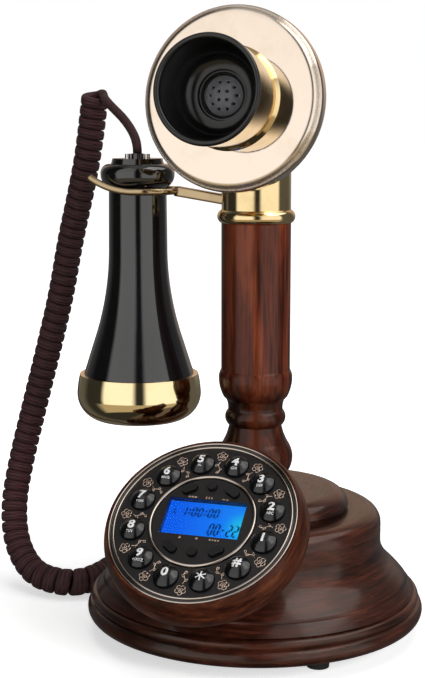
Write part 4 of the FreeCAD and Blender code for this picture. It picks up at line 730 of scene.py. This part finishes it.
black_gloss = moulded("black_lacquer", (0.004, 0.004, 0.005), grey(0.02), 0.06, 0.16, 700.0, FINE, 1.0)
key_black = moulded("key_moulding", (0.004, 0.004, 0.005), grey(0.014), 0.12, 0.24, 900.0, FINE, 0.15)
dial_black = moulded("dial_satin", (0.006, 0.005, 0.005), (0.03, 0.022, 0.018), 0.28, 0.44, 1100.0, MEDIUM)
black_plastic = moulded("black_moulding", grey(0.004), grey(0.016), 0.16, 0.3, 1300.0, MEDIUM)
grille_grey = moulded("grille_grey", (0.40, 0.395, 0.43), (0.48, 0.47, 0.5), 0.3, 0.5, 1100.0, MEDIUM)
rubber = moulded("foot_rubber", grey(0.008), (0.05, 0.047, 0.044), 0.6, 0.85, 1500.0, COARSE)
board_green = moulded("board_green", (0.01, 0.09, 0.035), (0.03, 0.16, 0.07), 0.3, 0.45, 500.0, BOARD)
speaker_card = moulded("speaker_card", (0.03, 0.028, 0.026), (0.07, 0.065, 0.06), 0.6, 0.8, 1200.0, CARD)
print("blacks:", black_gloss.name, key_black.name, dial_black.name, black_plastic.name, rubber.name)

# %% [markdown]
# The cord is covered in a burgundy braid. Two sets of flat strands cross over each other at a slant.
# Strands modelled one by one would be far too many faces, so the weave is only colour and relief,
# worked out from the texture map in metres along the cord. Seen edge-on the strands stand in each
# other's shade, so the braid darkens towards its outline.

# %% Woven cord
STRANDS, STITCH = 13.0, 0.016
YARN, YARN_SHADE, EDGE_SHADE = (0.095, 0.022, 0.028), (0.006, 0.0025, 0.003), (0.006, 0.0018, 0.002)
BRAID_RELIEF, BRAID_BUMP = 0.0003, 0.8

braid, given, result = new_group("braid", Shadow="Color", Yarn="Color", Strands="Float", Stitch="Float")
tree = braid
parts = add(tree, "ShaderNodeSeparateXYZ", {0: given["Vector"]}).outputs
round_it = math_node(tree, "MULTIPLY", parts["X"], given["Strands"])
along_it = math_node(tree, "DIVIDE", parts["Y"], given["Stitch"])
strands = []
for operation in ("ADD", "SUBTRACT"):
    phase = math_node(tree, "MULTIPLY", math_node(tree, operation, round_it, along_it), math.pi)
    strands.append(math_node(tree, "ABSOLUTE", math_node(tree, "SINE", phase)))
over = math_node(tree, "MAXIMUM", *strands)
under = math_node(tree, "MINIMUM", *strands)
fuzz = noise(tree, given["Vector"], 2200.0, 2.0, 0.5)
weave = weighed(tree, (over, 0.7), (under, 0.3))
lit = math_node(tree, "MULTIPLY", spread(tree, weave, 0.45, 1.0), math_node(tree, "ADD", fuzz, 0.5))
feed(result, {
    "Color": blend_colour(tree, lit, given["Shadow"], given["Yarn"]),
    "Roughness": spread(tree, fuzz, 0.3, 0.7, 0.6, 0.8),
    "Height": math_node(tree, "ADD", weave, math_node(tree, "MULTIPLY", fuzz, 0.25)),
})

woven, tree, shader, spot = new_material("woven_cord")
values = {"Shadow": YARN_SHADE, "Yarn": YARN, "Strands": STRANDS, "Stitch": STITCH}
colour = dressed(tree, shader, braid, {"Vector": spot["UV"], **values}, BRAID_RELIEF, BRAID_BUMP)
edge_on = add(tree, "ShaderNodeLayerWeight", {"Blend": 0.4}).outputs["Facing"]
feed(shader, {"Base Color": blend_colour(tree, spread(tree, edge_on, 0.15, 0.95), colour, EDGE_SHADE)})
feed(shader, {"Sheen Weight": 0.12, "Sheen Roughness": 0.4, "Sheen Tint": (0.75, 0.45, 0.45)})
cord.data.materials.append(woven)
print("braid nodes:", len(braid.nodes))

# %% [markdown]
# The display is a back-lit panel: blue, brighter and greener towards its right edge, where the lamp
# behind it sits. The panel's glow is measured in the dial's own directions, so the spot of the
# surface is first turned into the dial's frame. The lens over it is clear, with faint smudges of
# handling; a low index keeps its mirroring weak, so that the figures stay readable.

# %% Display panel and lens
LAMP_SPOT, LAMP_REACH, LAMP_SHARE = (0.020, 0.0, -0.003), 0.012, 0.85
LEFT_BLUE, RIGHT_BLUE = (0.0, 0.10, 0.82), (0.002, 0.21, 0.90)
LAMP_GREEN, CELL_BLUE = (0.01, 0.62, 0.78), (0.0, 0.05, 0.5)
CELL_SCALE = 2600.0

display, tree, shader, spot = new_material("display_blue")
local = in_frame(tree, spot["Object"], DIAL_CENTRE, DIAL_SLOPE)
across = add(tree, "ShaderNodeSeparateXYZ", {0: local}).outputs["X"]
blue = blend_colour(tree, spread(tree, across, -0.02, 0.02), LEFT_BLUE, RIGHT_BLUE)
patch = spread(tree, vector_node(tree, "DISTANCE", local, LAMP_SPOT), 0.0, LAMP_REACH, LAMP_SHARE, 0.0)
lit = blend_colour(tree, patch, blue, LAMP_GREEN)
cells = noise(tree, local, CELL_SCALE, 1.0)
feed(shader, {
    "Emission Color": blend_colour(tree, math_node(tree, "MULTIPLY", cells, 0.12), lit, CELL_BLUE),
    "Roughness": spread(tree, cells, 0.3, 0.7, 0.3, 0.4),
    "Base Color": (0.0, 0.01, 0.05), "Specular IOR Level": 0.0, "Emission Strength": 0.95,
})

lens_clear, tree, shader, spot = new_material("lens_clear")
smudge = noise(tree, spot["Object"], 60.0, 3.0)
feed(shader, {
    "Roughness": spread(tree, smudge, 0.4, 0.8, 0.01, 0.05),
    "Base Color": (0.98, 0.99, 1.0), "Transmission Weight": 1.0, "IOR": 1.12,
})
print("display", display.name, "lens", lens_clear.name)

# %% [markdown]
# Each solid of the model says which finish it has. The finishes above now take the place of the
# plain ones. A few pieces have a finish of their own: two of the three woods and two of the brasses.

# %% Give each piece its finish
FINISHES = {
    "wood": base_wood, "brass": brass, "pale_brass": pale_brass, "old_brass": old_brass,
    "black_gloss": black_gloss, "key_black": key_black, "dial_black": dial_black, "trim": trim_metal,
    "rubber": rubber, "black_plastic": black_plastic, "steel": steel, "lens": lens_clear,
    "display": display, "board": board_green, "speaker": speaker_card, "cord": woven,
}
OWN_FINISH = {
    "pillar": pillar_wood, "dial_housing": pod_wood, "hook_arm": arm_brass, "receiver_ear_cup": ear_brass,
}
plain = set()
for name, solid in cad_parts.items():
    for holder in solid.material_slots:
        kind = holder.material.name.split(".")[0] if holder.material else "none"
        finish = OWN_FINISH.get(name) or FINISHES.get(kind)
        if finish is None:
            plain.add((name, kind))
        else:
            holder.material = finish
print("pieces left plain:", sorted(plain))

# %% [markdown]
# The printing on the keys is white: a figure, and the usual letters of a telephone below it. An image
# could carry it, but shapes stay sharp at any distance. Each key is a low dome, so the flat glyphs are
# cut into small triangles and laid on its curve. The font's own star is small and high, so the star is
# drawn from six straight arms.

# %% Numbers on the keys
DIAL = Matrix.Translation(DIAL_CENTRE) @ Matrix.Rotation(DIAL_SLOPE, 4, "X")
KEY_CIRCLE = 34.8
KEY_TOP = 4.0
DOME_RADIUS = 8.69
KEY_MARKS = [
    ("1", ""), ("2", "ABC"), ("3", "DEF"), ("4", "GHI"), ("5", "JKL"), ("6", "MNO"),
    ("7", "PQRS"), ("8", "TUV"), ("9", "WXYZ"), ("0", ""), ("*", ""), ("#", ""),
]
KEY_BODIES = {"*": "key_star_body", "#": "key_hash_body"}
FIRST_KEY, KEY_STEP = math.radians(-15), math.radians(30)
FIGURE = {"height": 5.2, "weight": 0.035, "up": 1.0}
LETTERS = {"height": 1.25, "weight": 0.012, "up": -3.0}
STAR = {"reach": 2.7, "half_width": 0.3, "up": 0.7}
GLYPH_CUT = 0.7
CUT_ROUNDS = 4
INK_LIFT = 0.05
LETTER_STEPS, LETTER_SPACE = 3, 1.1


def on_dial(across, up, out):
    """A place on the dial, in millimetres from its centre, as a place in the model."""
    return DIAL @ (Vector((across, up, out)) * MM)


def polar(radius, angle):
    return Vector((radius * math.cos(angle), radius * math.sin(angle)))


def cut_finely(cut, limit):
    """Cuts flat faces into small triangles, so that they can be laid on a curve."""
    bmesh.ops.triangulate(cut, faces=cut.faces)
    for _ in range(CUT_ROUNDS):
        long = [edge for edge in cut.edges if edge.calc_length() > limit]
        bmesh.ops.subdivide_edges(cut, edges=long, cuts=1)
        bmesh.ops.triangulate(cut, faces=cut.faces)


def star(shape, reach, half_width, up):
    """Adds a star of six straight arms round a six-sided middle."""
    notches, tips = [], []
    for arm in range(6):
        angle = arm * math.pi / 3
        across, rise = 2 * half_width * math.cos(angle), 2 * half_width * math.sin(angle)
        notches.append(shape.verts.new((across, rise + up, 0)))
        way = polar(1, angle + math.pi / 6)
        flank = Vector((-way.y, way.x)) * half_width
        corners = [way * reach - flank, way * reach + flank]
        tips.append([shape.verts.new((corner.x, corner.y + up, 0)) for corner in corners])
    shape.faces.new(notches)
    for arm in range(6):
        shape.faces.new((notches[arm], tips[arm][0], tips[arm][1], notches[(arm + 1) % 6]))
    cut_finely(shape, GLYPH_CUT)


def glyphs(shape, text, height, weight, up):
    """Adds the triangles of a short text to a shape: its height and its middle are in millimetres."""
    letters = bpy.data.curves.new("letters", "FONT")
    letters.body, letters.offset, letters.resolution_u = text, weight, LETTER_STEPS
    letters.space_character = LETTER_SPACE
    flat = mesh_of(letters)
    low = [min(vertex.co[axis] for vertex in flat.vertices) for axis in (0, 1)]
    high = [max(vertex.co[axis] for vertex in flat.vertices) for axis in (0, 1)]
    size = height / (high[1] - low[1])
    cut = bmesh.new()
    cut.from_mesh(flat)
    for vertex in cut.verts:
        vertex.co.x = (vertex.co.x - (low[0] + high[0]) / 2) * size
        vertex.co.y = (vertex.co.y - (low[1] + high[1]) / 2) * size + up
    cut_finely(cut, GLYPH_CUT)
    cut.to_mesh(flat)
    cut.free()
    shape.from_mesh(flat)
    bpy.data.meshes.remove(flat)


def printed(name, scale, bright, faded, roughness):
    """Printing ink that is a little worn."""
    material, tree, shader, spot = new_material(name)
    chalk = noise(tree, spot["Object"], scale, 2.0)
    feed(shader, {
        "Base Color": blend_colour(tree, spread(tree, chalk, 0.35, 0.75), bright, faded),
        "Roughness": spread(tree, chalk, 0.3, 0.7, *roughness),
    })
    return material


def finish_shape(name, shape, material, body):
    """Turns a shape into a piece that rides on a body."""
    mesh = bpy.data.meshes.new(name)
    shape.to_mesh(mesh)
    shape.free()
    thing = new_object(name, mesh, material)
    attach(thing, body)
    return thing


ink = printed("white_ink", 1400.0, grey(0.92), grey(0.74), (0.35, 0.5))
for order, (figure, letters) in enumerate(KEY_MARKS):
    centre = polar(KEY_CIRCLE, FIRST_KEY + KEY_STEP * order)
    shape = bmesh.new()
    if figure == "*":
        star(shape, **STAR)
    else:
        glyphs(shape, figure, **FIGURE)
    if letters:
        glyphs(shape, letters, **LETTERS)
    for vertex in shape.verts:
        span = vertex.co.x ** 2 + vertex.co.y ** 2
        rise = KEY_TOP - DOME_RADIUS + math.sqrt(DOME_RADIUS ** 2 - span) + INK_LIFT
        vertex.co = on_dial(centre.x + vertex.co.x, centre.y + vertex.co.y, rise)
    body = KEY_BODIES.get(figure, "key_" + figure + "_body")
    finish_shape("mark_" + body.split("_")[1], shape, ink, body)
print("marked keys:", len(KEY_MARKS))

# %% [markdown]
# The display shows a running clock and a count, in seven-bar figures. Each figure is seven small
# six-sided bars, leaning a little, so only the list of bars that are on has to be written down.

# %% Figures of the display
BARS = {"0": "abcdef", "1": "bc", "2": "abged", "L": "def", "-": "g"}
BAR_ENDS = {
    "a": ((0, 2), (1, 2)), "b": ((1, 2), (1, 1)), "c": ((1, 1), (1, 0)), "d": ((0, 0), (1, 0)),
    "e": ((0, 0), (0, 1)), "f": ((0, 1), (0, 2)), "g": ((0, 1), (1, 1)),
}
BAR_GAP = 0.02
FIGURE_LEAN = 0.12
FIGURE_LEVEL = -2.9
COLON_DOT = [(0.1, -0.5), (0.9, -0.5), (0.9, 0.5), (0.1, 0.5)]
COLON_SIZE, COLON_SPOTS = 1.2, (0.3, 0.7)
FIGURE_STEP, COLON_STEP = 1.6, 2.4
CLOCK = {"text": "1:00:00", "left": -12.6, "middle": 6.7, "height": 4.8, "slim": 0.38, "thick": 0.85}
COUNT = {"text": "00-22", "left": 3.6, "middle": -2.6, "height": 6.2, "slim": 0.29, "thick": 0.85}
LINE_MARK = {"text": "L", "left": -16.8, "middle": 6.4, "height": 2.8, "slim": 0.5, "thick": 0.7}


def flat_shape(shape, outline, level):
    """Adds one flat face on the dial from an outline in millimetres."""
    shape.faces.new([shape.verts.new(on_dial(across, up, level)) for across, up in outline])


def seven_bar_text(shape, text, left, middle, height, slim, thick):
    """Adds a row of seven-bar figures and returns where it ends."""
    width, gap = height * slim, height * BAR_GAP
    dot = thick * COLON_SIZE
    for sign in text:
        if sign == ":":
            for part in COLON_SPOTS:
                low = middle + height * (part - 0.5)
                start = left + FIGURE_LEAN * (low - middle)
                flat_shape(shape, [(start + a * dot, low + b * dot) for a, b in COLON_DOT], FIGURE_LEVEL)
            left += thick * COLON_STEP
            continue
        for bar in BARS[sign]:
            start, end = (Vector((a * width, (b - 1) * height / 2)) for a, b in BAR_ENDS[bar])
            way = (end - start).normalized()
            side = Vector((-way.y, way.x)) * thick / 2
            start, end, taper = start + way * gap, end - way * gap, way * thick / 2
            tips = [start, start + taper + side, end - taper + side,
                    end, end - taper - side, start + taper - side]
            outline = [(left + tip.x + FIGURE_LEAN * tip.y, middle + tip.y) for tip in tips]
            flat_shape(shape, outline, FIGURE_LEVEL)
        left += width + thick * FIGURE_STEP
    return left


figure_ink, tree, shader, spot = new_material("figure_ink")
cells = noise(tree, spot["Object"], CELL_SCALE, 1.0)
feed(shader, {
    "Emission Color": blend_colour(tree, cells, (0.0, 0.004, 0.07), (0.0, 0.012, 0.15)),
    "Roughness": spread(tree, cells, 0.3, 0.7, 0.35, 0.45),
    "Base Color": (0.0, 0.004, 0.03), "Specular IOR Level": 0.0, "Emission Strength": 0.9,
})
shape = bmesh.new()
ends = [round(seven_bar_text(shape, **row), 1) for row in (CLOCK, COUNT, LINE_MARK)]
finish_shape("display_figures", shape, figure_ink, "base")
print("the rows of figures end at", ends)

# %% [markdown]
# The model's window is a solid slab that would lie on the figures. A thin clear pane with rounded
# corners stands for it, which leaves room for the figures under it.

# %% The clear pane
LCD_MIDDLE, LCD_SIZE = (0.0, 1.8), (40.0, 21.0)
PANE_CORNER, CORNER_STEPS = 0.8, 5
PANE_LEVELS = [(-0.95, 0.0), (-0.6, 0.0), (-0.4, 0.2)]


def rounded_rectangle(width, height, corner):
    """Corners of a rectangle with round corners, about its middle."""
    outline = []
    for quarter, (east, north) in enumerate(((1, 1), (-1, 1), (-1, -1), (1, -1))):
        for step in range(CORNER_STEPS + 1):
            swing = polar(corner, math.pi / 2 * (quarter + step / CORNER_STEPS))
            outline.append((east * (width / 2 - corner) + swing.x, north * (height / 2 - corner) + swing.y))
    return outline


shape = bmesh.new()
rings = []
for level, inset in PANE_LEVELS:
    outline = rounded_rectangle(LCD_SIZE[0] - 2 * inset, LCD_SIZE[1] - 2 * inset, PANE_CORNER)
    places = [on_dial(LCD_MIDDLE[0] + a, LCD_MIDDLE[1] + b, level) for a, b in outline]
    rings.append([shape.verts.new(place) for place in places])
for lower, upper in zip(rings, rings[1:]):
    for index in range(len(lower)):
        after = (index + 1) % len(lower)
        shape.faces.new((lower[index], lower[after], upper[after], upper[index]))
shape.faces.new(list(reversed(rings[0])))
shape.faces.new(rings[-1])
pane = finish_shape("display_pane", shape, lens_clear, "base")
for polygon in pane.data.polygons:
    polygon.use_smooth = False
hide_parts("display_lens")
print("pane faces:", len(pane.data.polygons))

# %% [markdown]
# Rings, the drum and the mouthpiece are turned: a short outline, in millimetres from an axis and along
# it, goes round the axis in small steps. A modifier could turn them too; a loop shows every step. The
# rings of the dial are half-round beads, so each has a thin bright line where it mirrors a soft box,
# and a black groove parts the two outer ones.

# %% Rings of the dial
ROUND_STEPS = 144
ARCH_STEPS = 10
BEAD_FOOT = -0.4
TRIM_TOP, TRIM_BEADS = 1.1, [(44.55, 0.55), (46.9, 0.5)]
GROOVE_TOP, GROOVE_SPAN = 0.1, (47.4, 44.0)
DISPLAY_TOP, DISPLAY_BEAD = 1.2, (26.2, 0.85)


def turned_piece(name, place, outlines, material, body):
    """A piece whose outlines (across, along) are turned round the axis of a place."""
    shape = bmesh.new()
    for outline in outlines:
        rows = []
        for step in range(ROUND_STEPS):
            ways = [(polar(across, 2 * math.pi * step / ROUND_STEPS), along) for across, along in outline]
            rows.append([shape.verts.new(place @ (Vector((*way, along)) * MM)) for way, along in ways])
        for first, second in zip(rows, rows[1:] + rows[:1]):
            for index in range(len(outline) - 1):
                shape.faces.new((first[index], second[index], second[index + 1], first[index + 1]))
    return finish_shape(name, shape, material, body)


def bead(middle, half_width, top):
    """Outline of a half-round bead, from its outer foot over its top to its inner foot."""
    arch = [polar(half_width, math.pi * step / ARCH_STEPS) for step in range(ARCH_STEPS + 1)]
    round_top = [(middle + swing.x, top - half_width + swing.y) for swing in arch]
    return [(middle + half_width, BEAD_FOOT), *round_top, (middle - half_width, BEAD_FOOT)]


outlines = [bead(*sizes, TRIM_TOP) for sizes in TRIM_BEADS]
trim_beads = turned_piece("dial_trim_beads", DIAL, outlines, trim_metal, "base")
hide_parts("dial_trim_ring")
outer, inner = GROOVE_SPAN
groove = [(outer, BEAD_FOOT), (outer, GROOVE_TOP), (inner, GROOVE_TOP), (inner, BEAD_FOOT)]
turned_piece("dial_trim_groove", DIAL, [groove], black_gloss, "base")
outlines = [bead(*DISPLAY_BEAD, DISPLAY_TOP)]
display_bead = turned_piece("display_bead", DIAL, outlines, trim_metal, "base")
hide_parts("display_ring")
print("ring faces:", len(trim_beads.data.polygons), len(display_bead.data.polygons))

# %% [markdown]
# The drum of the base runs out into the bell below it through a small cove, as a turner leaves it. The
# drum's own outline is turned again here with that cove, which runs on as a thin skin down the round
# slope of the bell.

# %% Drum with its cove
DRUM_TOP, DRUM_RADIUS, DRUM_BORE = 67.2, 68.0, 30.0
TOP_EDGE = (59.4, DRUM_TOP)
SHOULDER_CENTRE, SHOULDER_RADIUS = Vector((60.4, 59.6)), 7.6
SIDE = [(DRUM_RADIUS, 58.6), (DRUM_RADIUS, 51.5)]
COVE = [Vector((DRUM_RADIUS, 50.5)), Vector((DRUM_RADIUS, 43.17)), Vector((75.01, 36.7))]
BELL_CENTRE, BELL_SKIN = Vector((26.1, -16.3)), 72.12
SKIN_FROM, SKIN_TO = math.radians(47.3), math.radians(38.6)
SKIN_EDGE = Vector((-0.8, -0.6))
UNDERSIDE = [(66.0, 40.0), (DRUM_BORE, 41.6)]
SHOULDER_STEPS, COVE_STEPS, SKIN_STEPS = 8, 12, 6

outline = [(DRUM_BORE, DRUM_TOP), TOP_EDGE]
for step in range(SHOULDER_STEPS + 1):
    angle = math.pi / 2 * (1 - step / SHOULDER_STEPS)
    outline.append(SHOULDER_CENTRE + polar(SHOULDER_RADIUS, angle))
outline += SIDE
for step in range(COVE_STEPS + 1):
    share = step / COVE_STEPS
    outline.append(COVE[0] * (1 - share) ** 2 + COVE[1] * 2 * share * (1 - share) + COVE[2] * share ** 2)
for step in range(1, SKIN_STEPS + 1):
    outline.append(BELL_CENTRE + polar(BELL_SKIN, SKIN_FROM + (SKIN_TO - SKIN_FROM) * step / SKIN_STEPS))
outline += [outline[-1] + SKIN_EDGE, *UNDERSIDE]
drum = turned_piece("drum_with_cove", Matrix.Identity(4), [outline[::-1]], base_wood, "base")
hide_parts("base_drum")
print("drum faces:", len(drum.data.polygons))

# %% [markdown]
# The mouthpiece has a rounded lip, and its inside narrows in a long curve to a domed grille. Holes cut
# from a dome tend to leave long thin faces that shade badly. So the dome starts as a flat disc with its
# holes, is cut finely and then lifted onto a sphere; the rim of each hole is drawn inward, so the holes
# are dark and deep.

# %% Mouthpiece and grille
HEAD = Matrix.Translation((0.0, 0.0, 0.2798)) @ Matrix.Rotation(math.radians(84.1), 4, "X")
MOUTH_OUTLINE = [
    (23.15, 45.5), (23.15, 47.6), (24.95, 78.6), (26.7, 78.6), (26.7, 79.2), (26.5, 79.9), (26.0, 80.4),
    (25.3, 80.6), (24.6, 80.45), (24.0, 80.0), (23.6, 79.3), (23.3, 77.5), (22.7, 72.0), (22.0, 66.5),
    (21.1, 62.4), (19.8, 59.4), (17.9, 57.2), (15.6, 55.9), (13.6, 55.3), (12.5, 55.2), (12.0, 55.5),
    (11.4, 55.5), (10.9, 55.1), (10.6, 54.2), (10.5, 53.0), (9.4, 52.9),
]
GRILLE_RADIUS, GRILLE_FOOT, GRILLE_RISE = 9.7, 52.95, 2.3
GRILLE_CUT = 1.2
RIM_MARGIN = 0.5
HOLE_RADIUS, HOLE_DEPTH = 0.75, 1.6
HOLES = [(2.9, 45 + 90 * step) for step in range(4)] + [(6.8, 36 * step) for step in range(10)]
DISC_SIDES, HOLE_SIDES = 72, 18


def flat_disc(radius, holes, hole_radius):
    """A flat disc with round holes, as a shape of small triangles."""
    curve = bpy.data.curves.new("disc", "CURVE")
    curve.dimensions = "2D"
    curve.fill_mode = "BOTH"
    circles = [(0, 0, radius, DISC_SIDES), *[(*hole, hole_radius, HOLE_SIDES) for hole in holes]]
    for across, up, size, count in circles:
        spline = curve.splines.new("POLY")
        spline.points.add(count - 1)
        for index, point in enumerate(spline.points):
            angle = 2 * math.pi * index / count
            point.co = (across + size * math.cos(angle), up + size * math.sin(angle), 0, 1)
        spline.use_cyclic_u = True
    mesh = mesh_of(curve)
    disc = bmesh.new()
    disc.from_mesh(mesh)
    bmesh.ops.remove_doubles(disc, verts=disc.verts, dist=0.001)
    bpy.data.meshes.remove(mesh)
    return disc


mouth = turned_piece("mouth_cup", HEAD, [MOUTH_OUTLINE], black_plastic, "head")
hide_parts("mouthpiece")

turns = [(radius, math.radians(angle)) for radius, angle in HOLES]
holes = [(radius * math.cos(turn), radius * math.sin(turn)) for radius, turn in turns]
shape = flat_disc(GRILLE_RADIUS, holes, HOLE_RADIUS)
inside = GRILLE_RADIUS - RIM_MARGIN
rims = [edge for edge in shape.edges if len(edge.link_faces) == 1 and edge.verts[0].co.length < inside]
for corner in bmesh.ops.extrude_edge_only(shape, edges=rims)["geom"]:
    if isinstance(corner, bmesh.types.BMVert):
        corner.co.z = -HOLE_DEPTH
cut_finely(shape, GRILLE_CUT)
sphere = (GRILLE_RADIUS ** 2 + GRILLE_RISE ** 2) / (2 * GRILLE_RISE)
for corner in shape.verts:
    lift = math.sqrt(sphere ** 2 - corner.co.x ** 2 - corner.co.y ** 2) - sphere + GRILLE_RISE
    corner.co = HEAD @ (Vector((corner.co.x, corner.co.y, corner.co.z + lift + GRILLE_FOOT)) * MM)
grille = finish_shape("mouth_grille", shape, grille_grey, "head")
print("edges round the holes:", len(rims), "grille faces:", len(grille.data.polygons))

# %% [markdown]
# Between the keys the dial is chased with roses, and leaf sprays run inward from them: traditional
# ornament, cut as raised copper lines on the black plate. A rose is two rings of petal arcs round a
# small spiral; a spray is a waving stem with pointed leaves. A relief image could show them, but lines
# made by a few formulas stay sharp and catch the light on their ridges.

# %% Chased ornament on the dial
LINE_WIDTH, LINE_RISE, LINE_FOOT = 0.36, 0.2, -0.02
ROSE_CIRCLE = 39.7
PETALS = [(5, 1.6, 1.15), (3, 0.65, 0.62)]
PETAL_STEPS, PETAL_FROM, PETAL_STEP = 9, math.radians(-112), math.radians(28)
SPIRAL_STEPS, SPIRAL_START, SPIRAL_GROWTH, SPIRAL_TURN = 12, 0.12, 0.03, 0.6
SPRAY_SPAN = (36.2, 28.9)
STEM_STEPS, STEM_WAVE = 14, 0.7
LEAVES = [(3, 1), (7, -1), (11, 1)]
LEAF_LENGTH, LEAF_WIDTH, LEAF_STEPS, LEAF_WAY = 2.0, 0.46, 6, (0.62, 0.78)
GAPS_ROUND = 12


def raised_line(shape, points, closed=False):
    """Adds a line with a ridge along its middle; points are in millimetres on the dial."""
    rows = []
    for index, point in enumerate(points):
        before = points[index - 1] if closed or index else point
        after = points[(index + 1) % len(points)] if closed or index < len(points) - 1 else point
        way = (after - before).normalized()
        side = Vector((-way.y, way.x)) * LINE_WIDTH / 2
        ends = [(point + side, LINE_FOOT), (point, LINE_RISE), (point - side, LINE_FOOT)]
        rows.append([shape.verts.new(on_dial(spot.x, spot.y, level)) for spot, level in ends])
    for first, second in zip(rows, rows[1:] + (rows[:1] if closed else [])):
        for edge in (0, 1):
            shape.faces.new((first[edge], first[edge + 1], second[edge + 1], second[edge]))


def rose(shape, centre, turn):
    """Two rings of petals round a spiral."""
    for count, reach, size in PETALS:
        for petal in range(count):
            out = turn + 2 * math.pi * petal / count
            arc = [out + PETAL_FROM + PETAL_STEP * step for step in range(PETAL_STEPS)]
            raised_line(shape, [centre + polar(reach, out) + polar(size, angle) for angle in arc])
    steps = range(SPIRAL_STEPS)
    spiral = [polar(SPIRAL_START + SPIRAL_GROWTH * step, turn + SPIRAL_TURN * step) for step in steps]
    raised_line(shape, [centre + swing for swing in spiral])


def spray(shape, bearing):
    """A waving stem towards the middle of the dial, with three pointed leaves."""
    inward, across = polar(-1, bearing), polar(1, bearing + math.pi / 2)
    start, length = polar(SPRAY_SPAN[0], bearing), SPRAY_SPAN[0] - SPRAY_SPAN[1]
    stem = []
    for step in range(STEM_STEPS + 1):
        wave = STEM_WAVE * math.sin(2 * math.pi * step / STEM_STEPS)
        stem.append(start + inward * length * step / STEM_STEPS + across * wave)
    raised_line(shape, stem)
    shares = [step / LEAF_STEPS for step in range(LEAF_STEPS + 1)]
    leaf = [(share, LEAF_WIDTH * math.sin(math.pi * share)) for share in shares]
    loop = leaf + [(along, -wide) for along, wide in leaf[-2:0:-1]]
    for place, hand in LEAVES:
        way = (inward * LEAF_WAY[0] + across * hand * LEAF_WAY[1]).normalized()
        flank = Vector((-way.y, way.x))
        points = [stem[place] + way * LEAF_LENGTH * along + flank * wide for along, wide in loop]
        raised_line(shape, points, closed=True)


copper = metal("chased_copper", (0.66, 0.50, 0.41), (0.36, 0.25, 0.19), 0.2, 0.4)
shape = bmesh.new()
for gap in range(GAPS_ROUND):
    bearing = 2 * math.pi * gap / GAPS_ROUND
    rose(shape, polar(ROSE_CIRCLE, bearing), bearing)
    spray(shape, bearing)
ornament = finish_shape("dial_ornament", shape, copper, "base")
print("ornament faces:", len(ornament.data.polygons))

# %% [markdown]
# Small signs beside the display tell the six round and long keys apart. They are plain bars, dots
# and arrows, printed in a copper-coloured ink.

# %% Signs by the display
SIGN_LEVEL = 0.04
SIGN_BARS = [
    {"places": (-10.2, -8.6, -7.0), "up": 13.6, "width": 1.1, "height": 0.8},
    {"places": (-1.4, 0.0, 1.4), "up": 13.7, "width": 0.5, "height": 1.3},
    {"places": (7.6, 9.4), "up": 13.5, "width": 1.3, "height": 0.55},
    {"places": (6.8, 8.2, 9.6, 11.0), "up": -10.5, "width": 0.8, "height": 0.8},
]
SIGN_ARROWS = [(-8.6, -10.4, 1.3), (0.0, -10.6, -1.3)]
ARROW_SLIM = 0.6

shape = bmesh.new()
for row in SIGN_BARS:
    wide, high = row["width"] / 2, row["height"] / 2
    for across in row["places"]:
        flat_shape(shape, [(across + a * wide, row["up"] + b * high) for a, b in corners], SIGN_LEVEL)
for across, up, size in SIGN_ARROWS:
    half = abs(size) * ARROW_SLIM
    outline = [(across - half, up - size / 2), (across + half, up - size / 2), (across, up + size / 2)]
    flat_shape(shape, outline, SIGN_LEVEL)
sign_ink = printed("sign_ink", 1800.0, (0.55, 0.40, 0.30), (0.30, 0.20, 0.14), (0.4, 0.55))
finish_shape("display_signs", shape, sign_ink, "base")
print("signs:", sum(len(row["places"]) for row in SIGN_BARS) + len(SIGN_ARROWS))
